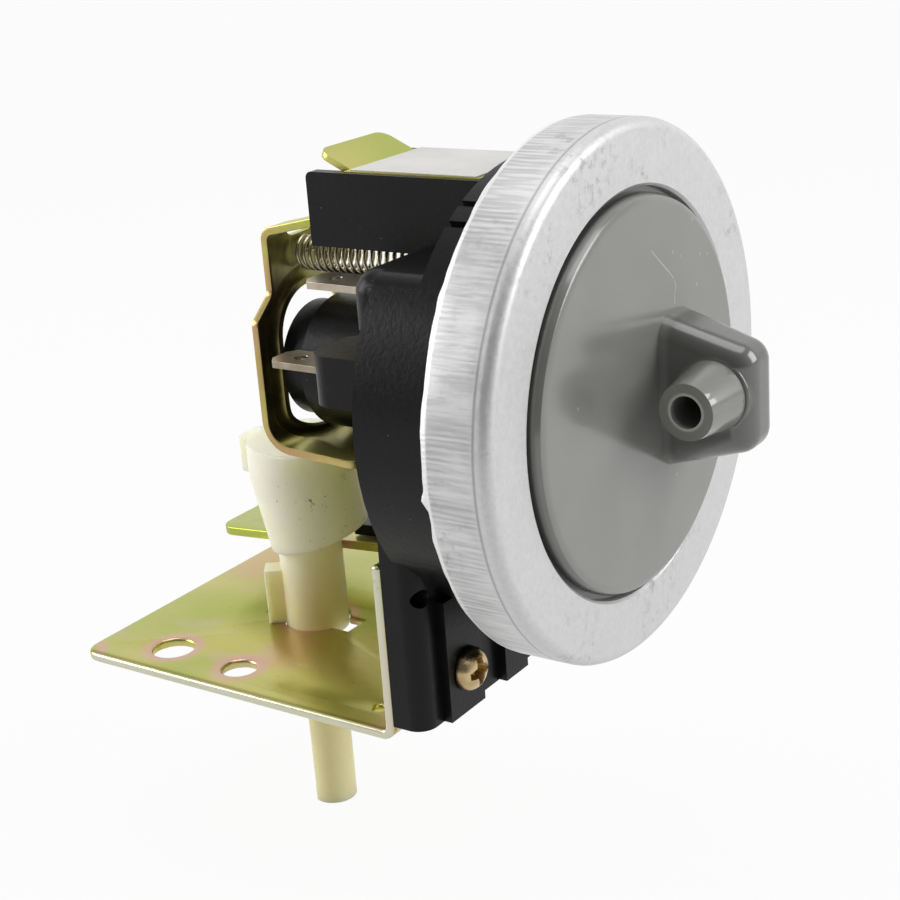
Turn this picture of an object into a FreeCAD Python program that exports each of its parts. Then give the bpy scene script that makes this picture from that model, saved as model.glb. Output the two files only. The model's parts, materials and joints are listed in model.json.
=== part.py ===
import FreeCAD, Part
import math
import os
import re

import Sketcher

# Washing machine pressure switch: diaphragm chamber, setting lever, cam with selector shaft, bracket.
# Frame: origin where the selector shaft's axis meets the panel face of the bracket, +Z up, the
# diaphragm axis along +X at axis_height. Lengths in millimetres, angles in degrees.

Vector = FreeCAD.Vector
doc = FreeCAD.newDocument("PressureSwitch")
sheet = doc.addObject("Spreadsheet::Sheet", "Sizes")
pieces = []

SIZES = [
    # Ring and cap
    ("ring_radius", 30.6), ("ring_clear", 7.4), ("ring_front", 49.7), ("ring_depth", 8.4),
    ("ring_wall", 1.0), ("ring_corner", 1.6), ("ring_face", 7.4), ("ring_lip", 1.6),
    ("rim_play", 0.1), ("cap_play", 0.7), ("cap_rise", 1.2), ("cap_wall", 1.6),
    ("cap_flange", 1.8), ("cap_edge", 1.2), ("bead_thick", 1.4), ("membrane_thick", 0.5),
    ("bead_in", 1.0), ("bead_step", 0.4), ("wave_in", 1.5),
    # Hose boss on the cap
    ("boss_near", 2.9), ("boss_thick", 8.2), ("boss_out", 11.1), ("boss_base_low", 9.9),
    ("boss_base_high", 8.4), ("boss_tip_low", 6.4), ("boss_tip_high", 5.2), ("boss_tip_thick", 6.6),
    ("boss_round", 2.6), ("hose_x", 57.3), ("hose_length", 6.2), ("hose_base_radius", 4.1),
    ("hose_tip_radius", 3.25), ("hose_bore", 1.85),
    # Housing drum and tube
    ("rim_step", 4.1), ("flange_rear", 36.0), ("drum_rear", 30.0), ("housing_wall", 1.6),
    ("drum_round", 2.8), ("tube_radius", 8.3), ("tube_step", 8.4), ("tube_gap", 2.65),
    ("tube_end_radius", 7.2), ("tube_end", 4.7), ("tube_bore", 5.9), ("notch_width", 0.9),
    ("notch_depth", 1.0), ("notch_a_turn", 27.6), ("notch_b_turn", 34.4),
    # Box on top of the drum
    ("box_left", 11.8), ("box_half", 8.0), ("box_sink", 1.0), ("box_depth", 8.7), ("box_wall", 1.4),
    ("box_floor", 1.2), ("box_round", 0.8), ("cover_left", 17.0), ("cover_right", 35.4),
    ("cover_thick", 0.8), ("cover_sink", 0.65), ("cover_half", 7.3), ("cover_play", 0.1),
    ("tab_half", 6.3), ("tab_length", 5.2), ("tab_rise", 25.0), ("tab_corner", 1.6),
    ("label_thick", 0.15), ("label_half", 7.1),
    # Leg behind the bracket web
    ("leg_half", 21.8), ("leg_bottom", 2.0), ("leg_plate", 2.0), ("leg_top", 25.4),
    ("leg_block", 2.5), ("leg_round", 2.3), ("rib_top", 17.0), ("rib_stand", 1.1), ("rib_outer", 18.0),
    ("rib_inner", 11.0), ("mid_rib_outer", 6.2), ("mid_rib_inner", 1.4), ("screw_y", 14.2),
    ("screw_height", 7.4), ("screw_radius", 1.5), ("screw_head_radius", 2.65), ("screw_head", 1.9),
    ("screw_past", 1.5), ("cross_long", 1.7), ("cross_wide", 0.35),
    ("leg_hole_y", 20.3), ("leg_hole_z", 18.3), ("leg_hole_radius", 1.1), ("leg_hole_wall", 1.0),
    ("ledge_left", 2.6), ("ledge_in", 1.9), ("ledge_width", 4.6), ("ledge_thick", 1.5),
    ("ledge_gap", 0.2),
    # Bracket
    ("steel", 1.2), ("bracket_half", 22.0), ("plate_left", 22.0), ("web_face", 28.3),
    ("web_top", 22.0), ("bend_radius", 0.6), ("arm_left", 20.2), ("arm_near", 4.4),
    ("arm_far", 20.0), ("arm_height", 11.6), ("arm_root_deep", 4.0), ("arm_drop", 4.2),
    ("plate_corner", 2.5), ("hole_a_x", 11.3), ("hole_a_y", 16.0),
    ("hole_a_radius", 2.7), ("hole_b_x", 0.5), ("hole_b_y", 16.7), ("hole_b_radius", 2.2),
    ("keyhole_play", 0.15), ("keyhole_left", 7.2), ("keyhole_right", 6.4), ("keyhole_half", 1.8),
    ("relief_x", 23.0), ("relief_y", 17.5), ("relief_radius", 0.8),
    # Cam with hub and shaft
    ("hub_radius", 4.2), ("shaft_radius", 3.0), ("shaft_length", 25.5), ("flat_length", 12.5),
    ("flat_depth", 1.0), ("shaft_draft", 0.04), ("key_reach", 6.3), ("key_width", 3.0),
    ("key_under", 2.8), ("key_lift", 0.1), ("key_turn", 215.0), ("flat_turn", 200.0),
    ("cam_offset", 0.4), ("barrel_radius", 7.2), ("barrel_deep", 4.0), ("foot_gap", 1.85),
    ("skirt_radius", 6.5), ("skirt_shift", 1.6), ("skirt_over", 1.5), ("skirt_under", 1.9),
    ("skirt_slope", 14.5), ("skirt_turn", 35.0), ("lug_reach", 8.8), ("lug_width", 5.0),
    ("lug_round", 1.2), ("lug_deep", 4.6), ("ramp_rise", 0.6), ("ramp_turn", 270.0), ("ramp_inner", 3.4),
    ("ramp_lead", 5.0), ("ramp_rest", 0.011), ("lug_turn", 180.0),
    # Setting lever
    ("lever_steel", 1.0), ("lever_x", 2.5), ("neck_half", 6.3), ("plate_half", 9.6),
    ("shoulder", 2.8), ("slot_half", 5.9), ("slot_below", 9.2), ("slot_above", 9.3), ("foot_below", 9.95),
    ("foot_length", 16.5), ("foot_drop", 3.0), ("lever_bend", 3.0), ("lever_top_bend", 0.8),
    ("arm_rise", 12.5), ("arm_up", 0.2), ("fork_half", 2.5), ("pivot_x", 17.0), ("pivot_up", 4.0),
    ("eye_radius", 1.9), ("pivot_radius", 1.0), ("dimple_radius", 1.4), ("dimple_x", 6.9),
    ("dimple_gap", 0.1),
    # Springs
    ("range_radius", 2.25), ("range_wire", 0.5), ("range_down", 4.1),
    ("return_radius", 5.2), ("return_wire", 0.7), ("return_end", 29.2),
    # Mechanism in the drum
    ("membrane_span", 5.7), ("plunger_plate", 2.0), ("plunger_x", 41.6), ("stem_radius", 2.5),
    ("stem_reach", 14.0), ("collar_radius", 5.2), ("collar_thick", 1.2), ("hub_face", 38.95),
    ("hub_seat", 5.5), ("trip_x", 37.2), ("trip_steel", 0.8), ("trip_pivot_up", 8.2),
    ("trip_pivot_x", 36.2), ("trip_half", 6.4), ("trip_below", 5.0), ("trip_down", 2.3),
    ("trip_slot", 3.2), ("arm_in", 1.5), ("trip_arm_up", 2.6), ("trip_arm_wide", 2.2),
    ("trip_pin", 0.7), ("trip_ear", 1.4), ("post_thick", 1.8), ("post_gap", 0.3),
    ("post_half", 1.8), ("post_reach", 1.2), ("trip_bump_y", 4.3), ("trip_bump", 0.7),
    ("pip_in", 1.0), ("trip_pip", 0.6), ("pip_gap", 0.35),
    # Terminals and contacts
    ("blade_thick", 0.8), ("blade_width", 4.8), ("low_in", 5.5), ("low_up", 5.5), ("low_tip", 14.2),
    ("low_boss", 21.5), ("high_in", 1.3), ("high_down", 3.0), ("high_tip", 18.2), ("high_boss", 26.0),
    ("boss_pad", 2.0), ("boss_soft", 2.7), ("low_boss_deep", 3.0), ("high_boss_deep", 3.6),
    ("contact_up", 2.0), ("contact_radius", 1.2), ("contact_thick", 0.9), ("contact_gap", 0.6),
    ("contact_in", 3.7), ("strip_x", 32.4), ("strip_up", 0.4), ("snap_thick", 0.25),
    ("snap_down", 4.9), ("snap_in", 2.0), ("snap_wide", 4.0), ("post_down", 5.7), ("post_air", 0.03),
    ("hole_back", 3.2), ("blade_hole", 0.8), ("tip_long", 1.2), ("tip_wide", 0.9),
    # Plug in the tube end
    ("plug_length", 3.4), ("plug_slot", 1.0), ("plug_slot_deep", 1.2), ("running_play", 0.05),
    ("blind_pin", 0.7), ("window_play", 0.65), ("label_edge", 0.6),
]

PLACES = [
    # The diaphragm axis, above the panel face by the ring and its clearance
    ("axis_height", "ring_radius+ring_clear"),
    # Radii that follow the ring
    ("body_radius", "ring_radius-rim_step"),
    ("ring_opening", "ring_radius-ring_face"),
    ("cap_radius", "ring_opening-cap_play"),
    ("membrane_radius", "ring_opening+bead_in"),
    ("plunger_radius", "membrane_radius-membrane_span"),
    # Heights that follow the diaphragm axis, and the flat that clears the tube and the range spring
    ("drum_flat", "tube_radius+tube_gap+range_radius+range_down"),
    ("roof", "axis_height+drum_flat"),
    ("box_bottom", "roof-box_sink"),
    ("box_top", "box_bottom+box_depth"),
    ("cover_low", "box_top-cover_sink"),
    ("cover_high", "cover_low+cover_thick"),
    ("pivot_z", "box_bottom+pivot_up"),
    ("arm_root", "box_bottom+arm_up"),
    ("range_height", "roof-range_down"),
    ("high_z", "roof-high_down"),
    ("snap_top", "roof-snap_down"),
    ("leg_low", "roof-post_down"),
    ("trip_top", "roof-trip_down"),
    ("trip_pivot_z", "axis_height+trip_pivot_up"),
    ("trip_bottom", "axis_height-trip_below"),
    ("trip_arm_low", "axis_height+trip_arm_up"),
    ("trip_arm_high", "trip_arm_low+trip_arm_wide"),
    ("trip_pip_z", "trip_arm_low+0.5*trip_arm_wide"),
    ("low_z", "axis_height+low_up"),
    ("contact_z", "axis_height+contact_up"),
    ("strip_low", "axis_height+strip_up"),
    ("snap_low", "strip_low"),
    ("slot_low", "axis_height-slot_below"),
    ("slot_high", "axis_height+slot_above"),
    ("neck_low", "slot_high"),
    ("foot_height", "axis_height-foot_below"),
    ("cam_top", "foot_height-foot_gap"),
    ("lug_from", "cam_top-lug_deep"),
    ("barrel_from", "cam_top-barrel_deep"),
    # The cone and the key rib clear the bracket's upper arm
    ("skirt_middle", "arm_height+skirt_over"),
    ("skirt_from", "skirt_middle-skirt_under"),
    ("key_top", "arm_height-key_under"),
    # Places across the drum: the low blade by its radius, the high one by the chamber's round wall
    ("chamber_radius", "body_radius-housing_wall"),
    ("high_corner", "drum_flat-high_down+blade_thick"),
    ("low_y", "body_radius-low_in"),
    ("high_y", "sqrt(chamber_radius*chamber_radius-high_corner*high_corner)-high_in"),
    ("trip_arm_reach", "low_y-arm_in"),
    ("contact_y", "low_y-contact_in"),
    ("snap_near", "low_y-snap_in"),
    ("snap_far", "snap_near-snap_wide"),
    ("trip_pip_y", "0.5*(snap_near+snap_far)-pip_in"),
]


def fill_sheet():
    """Writes each size, and each place worked out from the sizes, under its own name."""
    for row, (name, value) in enumerate(SIZES + PLACES, start=1):
        sheet.set("A%d" % row, name)
        sheet.setAlias("B%d" % row, name)
        sheet.set("B%d" % row, str(value) if isinstance(value, float) else "=" + value)
    doc.recompute()
    return {name: float(sheet.get(name)) for name, value in SIZES + PLACES}


size = fill_sheet()


def ex(text):
    """An expression in size names, with each name read from the sheet."""
    def named(found):
        word = found.group(0)
        return "Sizes." + word if word in size else word
    return re.sub(r"[a-z][a-z_]*", named, str(text))


def bind(obj, values):
    for target, text in values.items():
        obj.setExpression(target, ex(text))
    return obj


def place(obj, x, y, z):
    return bind(obj, {"Placement.Base.x": x, "Placement.Base.y": y, "Placement.Base.z": z})


def box(name, xs, ys, zs):
    """A box between two corners, each side given as (low, high)."""
    obj = doc.addObject("Part::Box", name)
    place(obj, xs[0], ys[0], zs[0])
    sides = {"Length": xs, "Width": ys, "Height": zs}
    return bind(obj, {side: "(%s)-(%s)" % (ends[1], ends[0]) for side, ends in sides.items()})


ALONG = {
    "x": FreeCAD.Rotation(Vector(0, 1, 0), 90),
    "y": FreeCAD.Rotation(Vector(1, 0, 0), -90),
    "z": FreeCAD.Rotation(),
}


def spot(axis, start, centre):
    """The three coordinates of a point at start along axis, with the other two from centre."""
    a, b = centre
    return {"x": (start, a, b), "y": (a, start, b), "z": (a, b, start)}[axis]


def rod(name, axis, radius, ends, centre):
    obj = doc.addObject("Part::Cylinder", name)
    obj.Placement.Rotation = ALONG[axis]
    place(obj, *spot(axis, ends[0], centre))
    return bind(obj, {"Radius": radius, "Height": "(%s)-(%s)" % (ends[1], ends[0])})


def cone(name, axis, radii, ends, centre):
    obj = doc.addObject("Part::Cone", name)
    obj.Placement.Rotation = ALONG[axis]
    place(obj, *spot(axis, ends[0], centre))
    return bind(obj, {"Radius1": radii[0], "Radius2": radii[1], "Height": "(%s)-(%s)" % (ends[1], ends[0])})


def fuse(name, *shapes):
    obj = doc.addObject("Part::MultiFuse", name)
    obj.Shapes = list(shapes)
    obj.Refine = True
    return obj


def cut(name, base, *tools):
    obj = doc.addObject("Part::Cut", name)
    obj.Base = base
    obj.Tool = tools[0] if len(tools) == 1 else fuse(name + "_tools", *tools)
    obj.Refine = True
    return obj


def tube(name, axis, outer, inner, ends, centre):
    outside = rod(name + "_outside", axis, outer, ends, centre)
    return cut(name, outside, rod(name + "_inside", axis, inner, ends, centre))


def feature(name, shape):
    obj = doc.addObject("Part::Feature", name)
    obj.Shape = shape
    return obj


def rounded(name, base, radius, chosen):
    """Rounds the edges of base whose middle point passes the chosen test."""
    doc.recompute()
    numbers = [i for i, edge in enumerate(base.Shape.Edges, start=1) if chosen(edge)]
    obj = doc.addObject("Part::Fillet", name)
    obj.Base = base
    obj.Edges = [(i, radius, radius) for i in numbers]
    return obj


def plane(body, role):
    return [item for item in body.Origin.OriginFeatures if item.Role == role][0]


def outline(body, role, points):
    """A closed sketch on a plane of the body, each corner held by two dimensions from the sheet."""
    sketch = body.newObject("Sketcher::SketchObject", body.Name + "_outline")
    sketch.AttachmentSupport = [(plane(body, role), "")]
    sketch.MapMode = "FlatFace"
    count = len(points)
    for i in range(count):
        turn = 2 * math.pi * i / count
        after = 2 * math.pi * (i + 1) / count
        start = Vector(50 * math.cos(turn), 50 * math.sin(turn), 0)
        end = Vector(50 * math.cos(after), 50 * math.sin(after), 0)
        sketch.addGeometry(Part.LineSegment(start, end), False)
    for i in range(count):
        sketch.addConstraint(Sketcher.Constraint("Coincident", i, 2, (i + 1) % count, 1))
    for i, point in enumerate(points):
        for word, kind, text in (("across", "DistanceX", point[0]), ("up", "DistanceY", point[1])):
            number = sketch.addConstraint(Sketcher.Constraint(kind, -1, 1, i, 1, 1.0))
            sketch.renameConstraint(number, "%s_%d" % (word, i))
            sketch.setExpression("Constraints.%s_%d" % (word, i), ex(text))
    return sketch


def turned(name, points):
    """A body turned about the diaphragm axis from a profile of (x, radius) corners."""
    body = doc.addObject("PartDesign::Body", name)
    place(body, 0, 0, "axis_height")
    sketch = outline(body, "XZ_Plane", points)
    turn = body.newObject("PartDesign::Revolution", name + "_turn")
    turn.Profile = sketch
    turn.ReferenceAxis = (plane(body, "X_Axis"), [""])
    turn.Angle = 360
    return body


def padded(name, role, points, thick, at):
    """A plate padded from its outline, with the body placed at the given point."""
    body = doc.addObject("PartDesign::Body", name)
    place(body, *at)
    pad = body.newObject("PartDesign::Pad", name + "_pad")
    pad.Profile = outline(body, role, points)
    bind(pad, {"Length": thick})
    return body


def piece(node, obj):
    obj.Label = node
    pieces.append(obj)
    return obj


# Places that several pieces share, as expressions in the sizes.

AXIS = "axis_height"
RING_REAR = "ring_front-ring_depth"
FLANGE_FRONT = "ring_front-ring_wall"
BEAD_FRONT = "ring_front-ring_wall-cap_flange"
RIM_FRONT = "ring_front-ring_wall-cap_flange-bead_thick"
RIM_REAR = "ring_front-ring_depth+ring_wall"
RIM_RADIUS = "ring_radius-ring_wall-rim_play"
DISC_FRONT = "ring_front+cap_rise"
CHAMBER_REAR = "drum_rear+housing_wall"
CHAMBER_RADIUS = "chamber_radius"
PLATE_FRONT = "plunger_x+plunger_plate"
LEG_FRONT = "web_face+leg_plate+leg_block"
RIB_FRONT = "web_face+leg_plate+leg_block+rib_stand"
CENTRE = ("0", AXIS)
LEVER_PIN_ENDS = ("-box_half+blind_pin", "box_half-blind_pin")
TRIP_PIN_REACH = "(trip_half+post_gap+post_thick)"
TRIP_PIVOT = ("trip_pivot_x", "trip_pivot_z")


def crimp_ring():
    piece("crimp_ring", turned("crimp_ring", [
        ("ring_front", "ring_opening"),
        ("ring_front", "ring_radius-ring_corner"),
        ("ring_front-0.3*ring_corner", "ring_radius-0.3*ring_corner"),
        ("ring_front-ring_corner", "ring_radius"),
        (RING_REAR, "ring_radius"),
        (RING_REAR, "ring_radius-ring_wall-ring_lip"),
        (RIM_REAR, "ring_radius-ring_wall-ring_lip"),
        (RIM_REAR, "ring_radius-ring_wall"),
        (FLANGE_FRONT, "ring_radius-ring_wall"),
        (FLANGE_FRONT, "ring_opening"),
    ]))


def pressure_cap():
    """Grey disc clamped by the ring, with the hollow boss and the hose connector."""
    shell = turned("cap_shell", [
        (DISC_FRONT, "0"),
        (DISC_FRONT, "cap_radius-cap_edge"),
        (DISC_FRONT + "-0.3*cap_edge", "cap_radius-0.3*cap_edge"),
        (DISC_FRONT + "-cap_edge", "cap_radius"),
        (FLANGE_FRONT, "cap_radius"),
        (FLANGE_FRONT, RIM_RADIUS),
        (BEAD_FRONT, RIM_RADIUS),
        (BEAD_FRONT, "cap_radius-cap_wall"),
        (DISC_FRONT + "-cap_wall", "cap_radius-cap_wall"),
        (DISC_FRONT + "-cap_wall", "0"),
    ])
    block = doc.addObject("Part::Wedge", "boss_block")
    block.Placement.Rotation = FreeCAD.Rotation(Vector(0, 0, 1), -90)
    place(block, DISC_FRONT + "-0.5*cap_wall", 0, AXIS)
    bind(block, {
        "Ymax": "boss_out+0.5*cap_wall", "Xmax": "-boss_near", "X2max": "-boss_near",
        "Xmin": "-boss_near-boss_thick", "X2min": "-boss_near-boss_tip_thick",
        "Zmin": "-boss_base_low", "Zmax": "boss_base_high",
        "Z2min": "-boss_tip_low", "Z2max": "boss_tip_high",
    })
    bind(block, {"Ymin": "0"})
    foot = size["ring_front"] + size["cap_rise"]
    boss = rounded("boss", block, size["boss_round"], lambda edge: edge.CenterOfMass.x > foot)
    hose = cone("hose_cone", "y", ("hose_tip_radius", "hose_base_radius"),
                ("boss_near-hose_length", "boss_near"), ("hose_x", AXIS))
    middle = "boss_near+0.5*boss_tip_thick"
    inlet = rod("hose_hole", "y", "hose_bore", ("boss_near-hose_length-1", middle), ("hose_x", AXIS))
    passage = rod("chamber_hole", "x", "0.9*hose_bore", (DISC_FRONT + "-cap_wall-1", "hose_x"),
                  (middle + "-1", AXIS))
    bored = cut("cap_bored", fuse("cap_solid", shell, boss, hose), inlet)
    piece("pressure_cap", cut("pressure_cap", bored, passage))


def diaphragm():
    rear = PLATE_FRONT + "+running_play"
    wave = RIM_FRONT + "-membrane_thick"
    piece("diaphragm", turned("diaphragm", [
        (rear, "0"),
        (rear, "plunger_radius"),
        (wave, "plunger_radius+wave_in"),
        (wave, "membrane_radius-wave_in"),
        (RIM_FRONT, "membrane_radius"),
        (RIM_FRONT, RIM_RADIUS),
        (BEAD_FRONT, RIM_RADIUS),
        (BEAD_FRONT, "membrane_radius+bead_step"),
        (wave + "+membrane_thick", "membrane_radius-1.2*wave_in"),
        (wave + "+membrane_thick", "plunger_radius+0.8*wave_in"),
        (rear + "+membrane_thick", "plunger_radius-0.2*wave_in"),
        (rear + "+membrane_thick", "0"),
    ]))


def drum_solids():
    """The drum, the clamped rim and the flat on its top, then the tube behind it."""
    disc = rod("drum_disc", "x", "body_radius", ("drum_rear", "flange_rear"), CENTRE)
    over = box("drum_top", ("drum_rear-1", "flange_rear"), ("-body_radius", "body_radius"),
               ("roof", "axis_height+body_radius+1"))
    flat = cut("drum_flatted", disc, over)
    middle = 0.5 * (size["drum_rear"] + size["flange_rear"])
    drum = rounded("drum", flat, size["drum_round"], lambda edge: near(edge, middle, None, size["roof"]))
    return [
        drum,
        rod("flange_disc", "x", "body_radius", ("flange_rear", RIM_FRONT), CENTRE),
        rod("clamp_rim", "x", RIM_RADIUS, (RIM_REAR, RIM_FRONT), CENTRE),
        rod("tube_round", "x", "tube_radius", ("tube_step", CHAMBER_REAR), CENTRE),
        rod("tube_nose", "x", "tube_end_radius", ("tube_end", "tube_step+1"), CENTRE),
    ]


def leg_solids():
    """The leg that the bracket is screwed to: a plate, a block and its standing ribs."""
    front = size["web_face"] + size["leg_plate"] + size["leg_block"]
    block = box("leg_body", ("web_face+leg_plate-0.5", LEG_FRONT), ("-leg_half", "leg_half"),
                ("leg_bottom", "leg_top"))
    middle = 0.5 * (size["leg_bottom"] + size["leg_top"])
    solids = [
        box("leg_sheet", ("web_face", "web_face+leg_plate"), ("-leg_half", "leg_half"),
            ("leg_bottom", "leg_top")),
        rounded("leg_block", block, size["leg_round"], lambda edge: near(edge, front, None, middle)),
    ]
    ribs = (("rib", "rib_inner", "rib_outer"), ("mid_rib", "mid_rib_inner", "mid_rib_outer"))
    for word, inner, outer in ribs:
        for side, ys in (("near", ("-" + outer, "-" + inner)), ("far", (inner, outer))):
            solids.append(box("leg_%s_%s" % (word, side), (LEG_FRONT + "-0.5", RIB_FRONT), ys,
                              ("leg_bottom", "rib_top")))
    return solids


def block_solids():
    """Rounded blocks that hold the two terminals, and the ledge over the bracket's arm."""
    low = box("low_block", ("low_boss", CHAMBER_REAR),
              ("-low_y-boss_pad", "-low_y+blade_width+boss_pad"),
              ("low_z-low_boss_deep", "low_z+blade_thick+boss_pad"))
    high = box("high_block", ("high_boss", CHAMBER_REAR), ("-high_y-boss_pad", "box_half"),
               ("high_z-high_boss_deep", "roof"))
    low_left, high_left = size["low_boss"], size["high_boss"]
    high_near = -size["high_y"] - size["boss_pad"]
    roof, soft = size["roof"], size["boss_soft"]

    def outer(edge):
        """The high block's near left corner, its top near edge and its top left edge."""
        if near(edge, high_left, None, roof):
            return True
        on_near = edge.CenterOfMass.y < high_near + 0.01
        corner = near(edge, high_left, None, None) and upright(edge)
        return on_near and (near(edge, None, None, roof) or corner)

    above = "arm_height+steel+ledge_gap-(web_face-(%s))*tan(arm_drop)"
    ledge = side_plate("ledge", [
        ("ledge_left", above % "ledge_left"),
        (CHAMBER_REAR, above % CHAMBER_REAR),
        (CHAMBER_REAR, "ledge_thick+" + above % CHAMBER_REAR),
        ("ledge_left", "ledge_thick+" + above % "ledge_left"),
    ], "arm_near+ledge_in", "arm_near+ledge_in+ledge_width")
    return [
        rounded("low_block_soft", low, soft,
                lambda edge: near(edge, low_left, None, None) and upright(edge)),
        rounded("high_block_soft", high, soft, outer),
        ledge,
    ]


def upright(edge):
    return abs(edge.tangentAt(edge.FirstParameter).z) > 0.99


def rim_notch(name, turn):
    """A short slot along the flange's edge, turned about the diaphragm axis from the top."""
    obj = box(name, ("flange_rear-1", RING_REAR + "+0.2"), ("0", "notch_width"), ("0", "notch_depth+1"))
    obj.Placement.Rotation = FreeCAD.Rotation(Vector(1, 0, 0), size[turn])
    foot = "(body_radius-notch_depth)"
    return bind(obj, {
        "Placement.Base.y": "-sin(%s)*%s-0.5*notch_width*cos(%s)" % (turn, foot, turn),
        "Placement.Base.z": "axis_height+cos(%s)*%s-0.5*notch_width*sin(%s)" % (turn, foot, turn),
    })


def trip_posts():
    """Two posts inside the drum that carry the trip lever's pin."""
    posts = []
    inner = "(trip_half+post_gap)"
    outer = "(trip_half+post_gap+post_thick)"
    for side, ys in (("near", ("-" + outer, "-" + inner)), ("far", (inner, outer))):
        posts.append(box("trip_post_" + side, ("drum_rear+0.5", "trip_pivot_x+post_reach"), ys,
                         ("trip_pivot_z-post_half", "trip_pivot_z+post_half")))
    return posts


def chamber_tools():
    """The hollow of the drum, lower behind the flange where the flat lies over it."""
    step = "flange_rear+housing_wall"
    low = rod("chamber_round", "x", CHAMBER_RADIUS, (CHAMBER_REAR, step), CENTRE)
    over = box("chamber_roof", (CHAMBER_REAR + "-1", step), ("-body_radius", "body_radius"),
               ("roof-housing_wall", "axis_height+body_radius+1"))
    front = rod("chamber_front", "x", CHAMBER_RADIUS, (step, RIM_FRONT + "+1"), CENTRE)
    return [cut("chamber_rear", low, over), front]


def main_housing():
    """One moulding: drum, tube, box for the lever's arms, terminal blocks and leg."""
    trough = box("box_outside", ("box_left", "flange_rear+0.5"), ("-box_half", "box_half"),
                 ("box_bottom", "box_top"))
    trough = rounded("box_soft", trough, size["box_round"],
                     lambda edge: near(edge, size["box_left"], 0, size["box_top"]))
    shell = fuse("housing_outside", trough, *(drum_solids() + leg_solids() + block_solids()))
    inner = "box_half-box_wall"
    hollow = box("box_inside", ("box_left-1", "flange_rear-box_wall"), ("-(%s)" % inner, inner),
                 ("box_bottom+box_floor", "box_top+1"))
    tools = chamber_tools() + [
        hollow,
        box("cover_seat", ("cover_left-cover_play", "cover_right+cover_play"),
            ("-cover_half-cover_play", "cover_half+cover_play"), ("box_top-cover_sink", "box_top+1")),
        rim_notch("rim_notch_a", "notch_a_turn"),
        rim_notch("rim_notch_b", "notch_b_turn"),
        rod("tube_hole", "x", "tube_bore", ("tube_end-1", CHAMBER_REAR + "+1"), CENTRE),
        rod("spring_window", "x", "range_radius+window_play", ("high_boss-1", CHAMBER_REAR + "+0.1"),
            (0, "range_height")),
        rod("lever_pin_seat", "y", "pivot_radius", LEVER_PIN_ENDS, ("pivot_x", "pivot_z")),
    ]
    for side, sign in (("near", "-"), ("far", "")):
        tools.append(rod("screw_way_" + side, "x", "screw_radius", ("web_face-1", RIB_FRONT + "+1"),
                         (sign + "screw_y", "screw_height")))
        tools.append(rod("leg_hole_" + side, "x", "leg_hole_radius",
                         ("web_face+leg_hole_wall", LEG_FRONT + "+1"), (sign + "leg_hole_y", "leg_hole_z")))
    for word in ("low", "high"):
        tools.append(box(word + "_slot", (word + "_boss-1", CHAMBER_REAR + "+1"),
                         ("-%s_y" % word, "-%s_y+blade_width" % word),
                         (word + "_z", word + "_z+blade_thick")))
    hollowed = cut("housing_hollowed", shell, *tools)
    pin_way = rod("trip_pin_way", "y", "trip_pin", ("-%s-1" % TRIP_PIN_REACH, TRIP_PIN_REACH + "+1"),
                  TRIP_PIVOT)
    piece("main_housing", cut("main_housing", fuse("housing_with_posts", hollowed, *trip_posts()), pin_way))


def side_plate(name, points, low, high):
    """A folded sheet seen from the side, padded along Y from low to high."""
    return padded(name, "XZ_Plane", points, "(%s)-(%s)" % (high, low), (0, high, 0))


def mounting_bracket():
    """Zinc-plated sheet steel: base plate, upright web and the upper arm with its bend."""
    fold = side_plate("bracket_fold", [
        ("-plate_left", "0"),
        ("web_face", "0"),
        ("web_face", "web_top"),
        ("web_face-steel", "web_top"),
        ("web_face-steel", "steel"),
        ("-plate_left", "steel"),
    ], "-bracket_half", "bracket_half")
    face = size["web_face"]
    inside = face - size["steel"]
    fold = rounded("bracket_outer_bend", fold, size["bend_radius"] + size["steel"],
                   lambda edge: near(edge, face, 0, 0))
    fold = rounded("bracket_inner_bend", fold, size["bend_radius"],
                   lambda edge: near(edge, inside, 0, size["steel"]))
    fold = rounded("bracket_corners", fold, size["plate_corner"],
                   lambda edge: edge.Length < 1.5 and edge.CenterOfMass.x < 0.1 - size["plate_left"])
    notch = box("web_notch", ("web_face-steel-1", "web_face+1"), ("arm_near", "bracket_half+1"),
                ("arm_height-1", "web_top+1"))
    low = cut("bracket_web", fold, notch)
    slope = "tan(arm_drop)"
    arm = side_plate("bracket_arm", [
        ("web_face", "arm_height-arm_root_deep"),
        ("web_face", "arm_height+steel"),
        ("-arm_left", "arm_height+steel-(web_face+arm_left)*" + slope),
        ("-arm_left", "arm_height-(web_face+arm_left)*" + slope),
        ("web_face-steel", "arm_height-steel*" + slope),
        ("web_face-steel", "arm_height-arm_root_deep"),
    ], "arm_near", "arm_far")
    arm = rounded("arm_outer_bend", arm, size["bend_radius"] + size["steel"],
                  lambda edge: near(edge, face, None, size["arm_height"] + size["steel"]))
    arm = rounded("arm_corners", arm, size["plate_corner"],
                  lambda edge: edge.Length < 1.5 and edge.CenterOfMass.x < 0.1 - size["arm_left"])
    holes = [
        rod("fixing_hole_a", "z", "hole_a_radius", ("-1", "steel+1"), ("-hole_a_x", "-hole_a_y")),
        rod("fixing_hole_b", "z", "hole_b_radius", ("-1", "steel+1"), ("hole_b_x", "-hole_b_y")),
        rod("relief_hole", "z", "relief_radius", ("-1", "steel+1"), ("relief_x", "-relief_y")),
        rod("key_round", "z", "hub_radius+keyhole_play", ("-1", "steel+1"), ("0", "0")),
        box("key_slot", ("-keyhole_left", "keyhole_right"), ("-keyhole_half", "keyhole_half"),
            ("-1", "steel+1")),
    ]
    for side, y in (("near", "-screw_y"), ("far", "screw_y")):
        holes.append(rod("thread_" + side, "x", "screw_radius", ("web_face-steel-1", "web_face+1"),
                         (y, "screw_height")))
    piece("mounting_bracket", cut("mounting_bracket", fuse("bracket_solid", low, arm), *holes))


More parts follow.
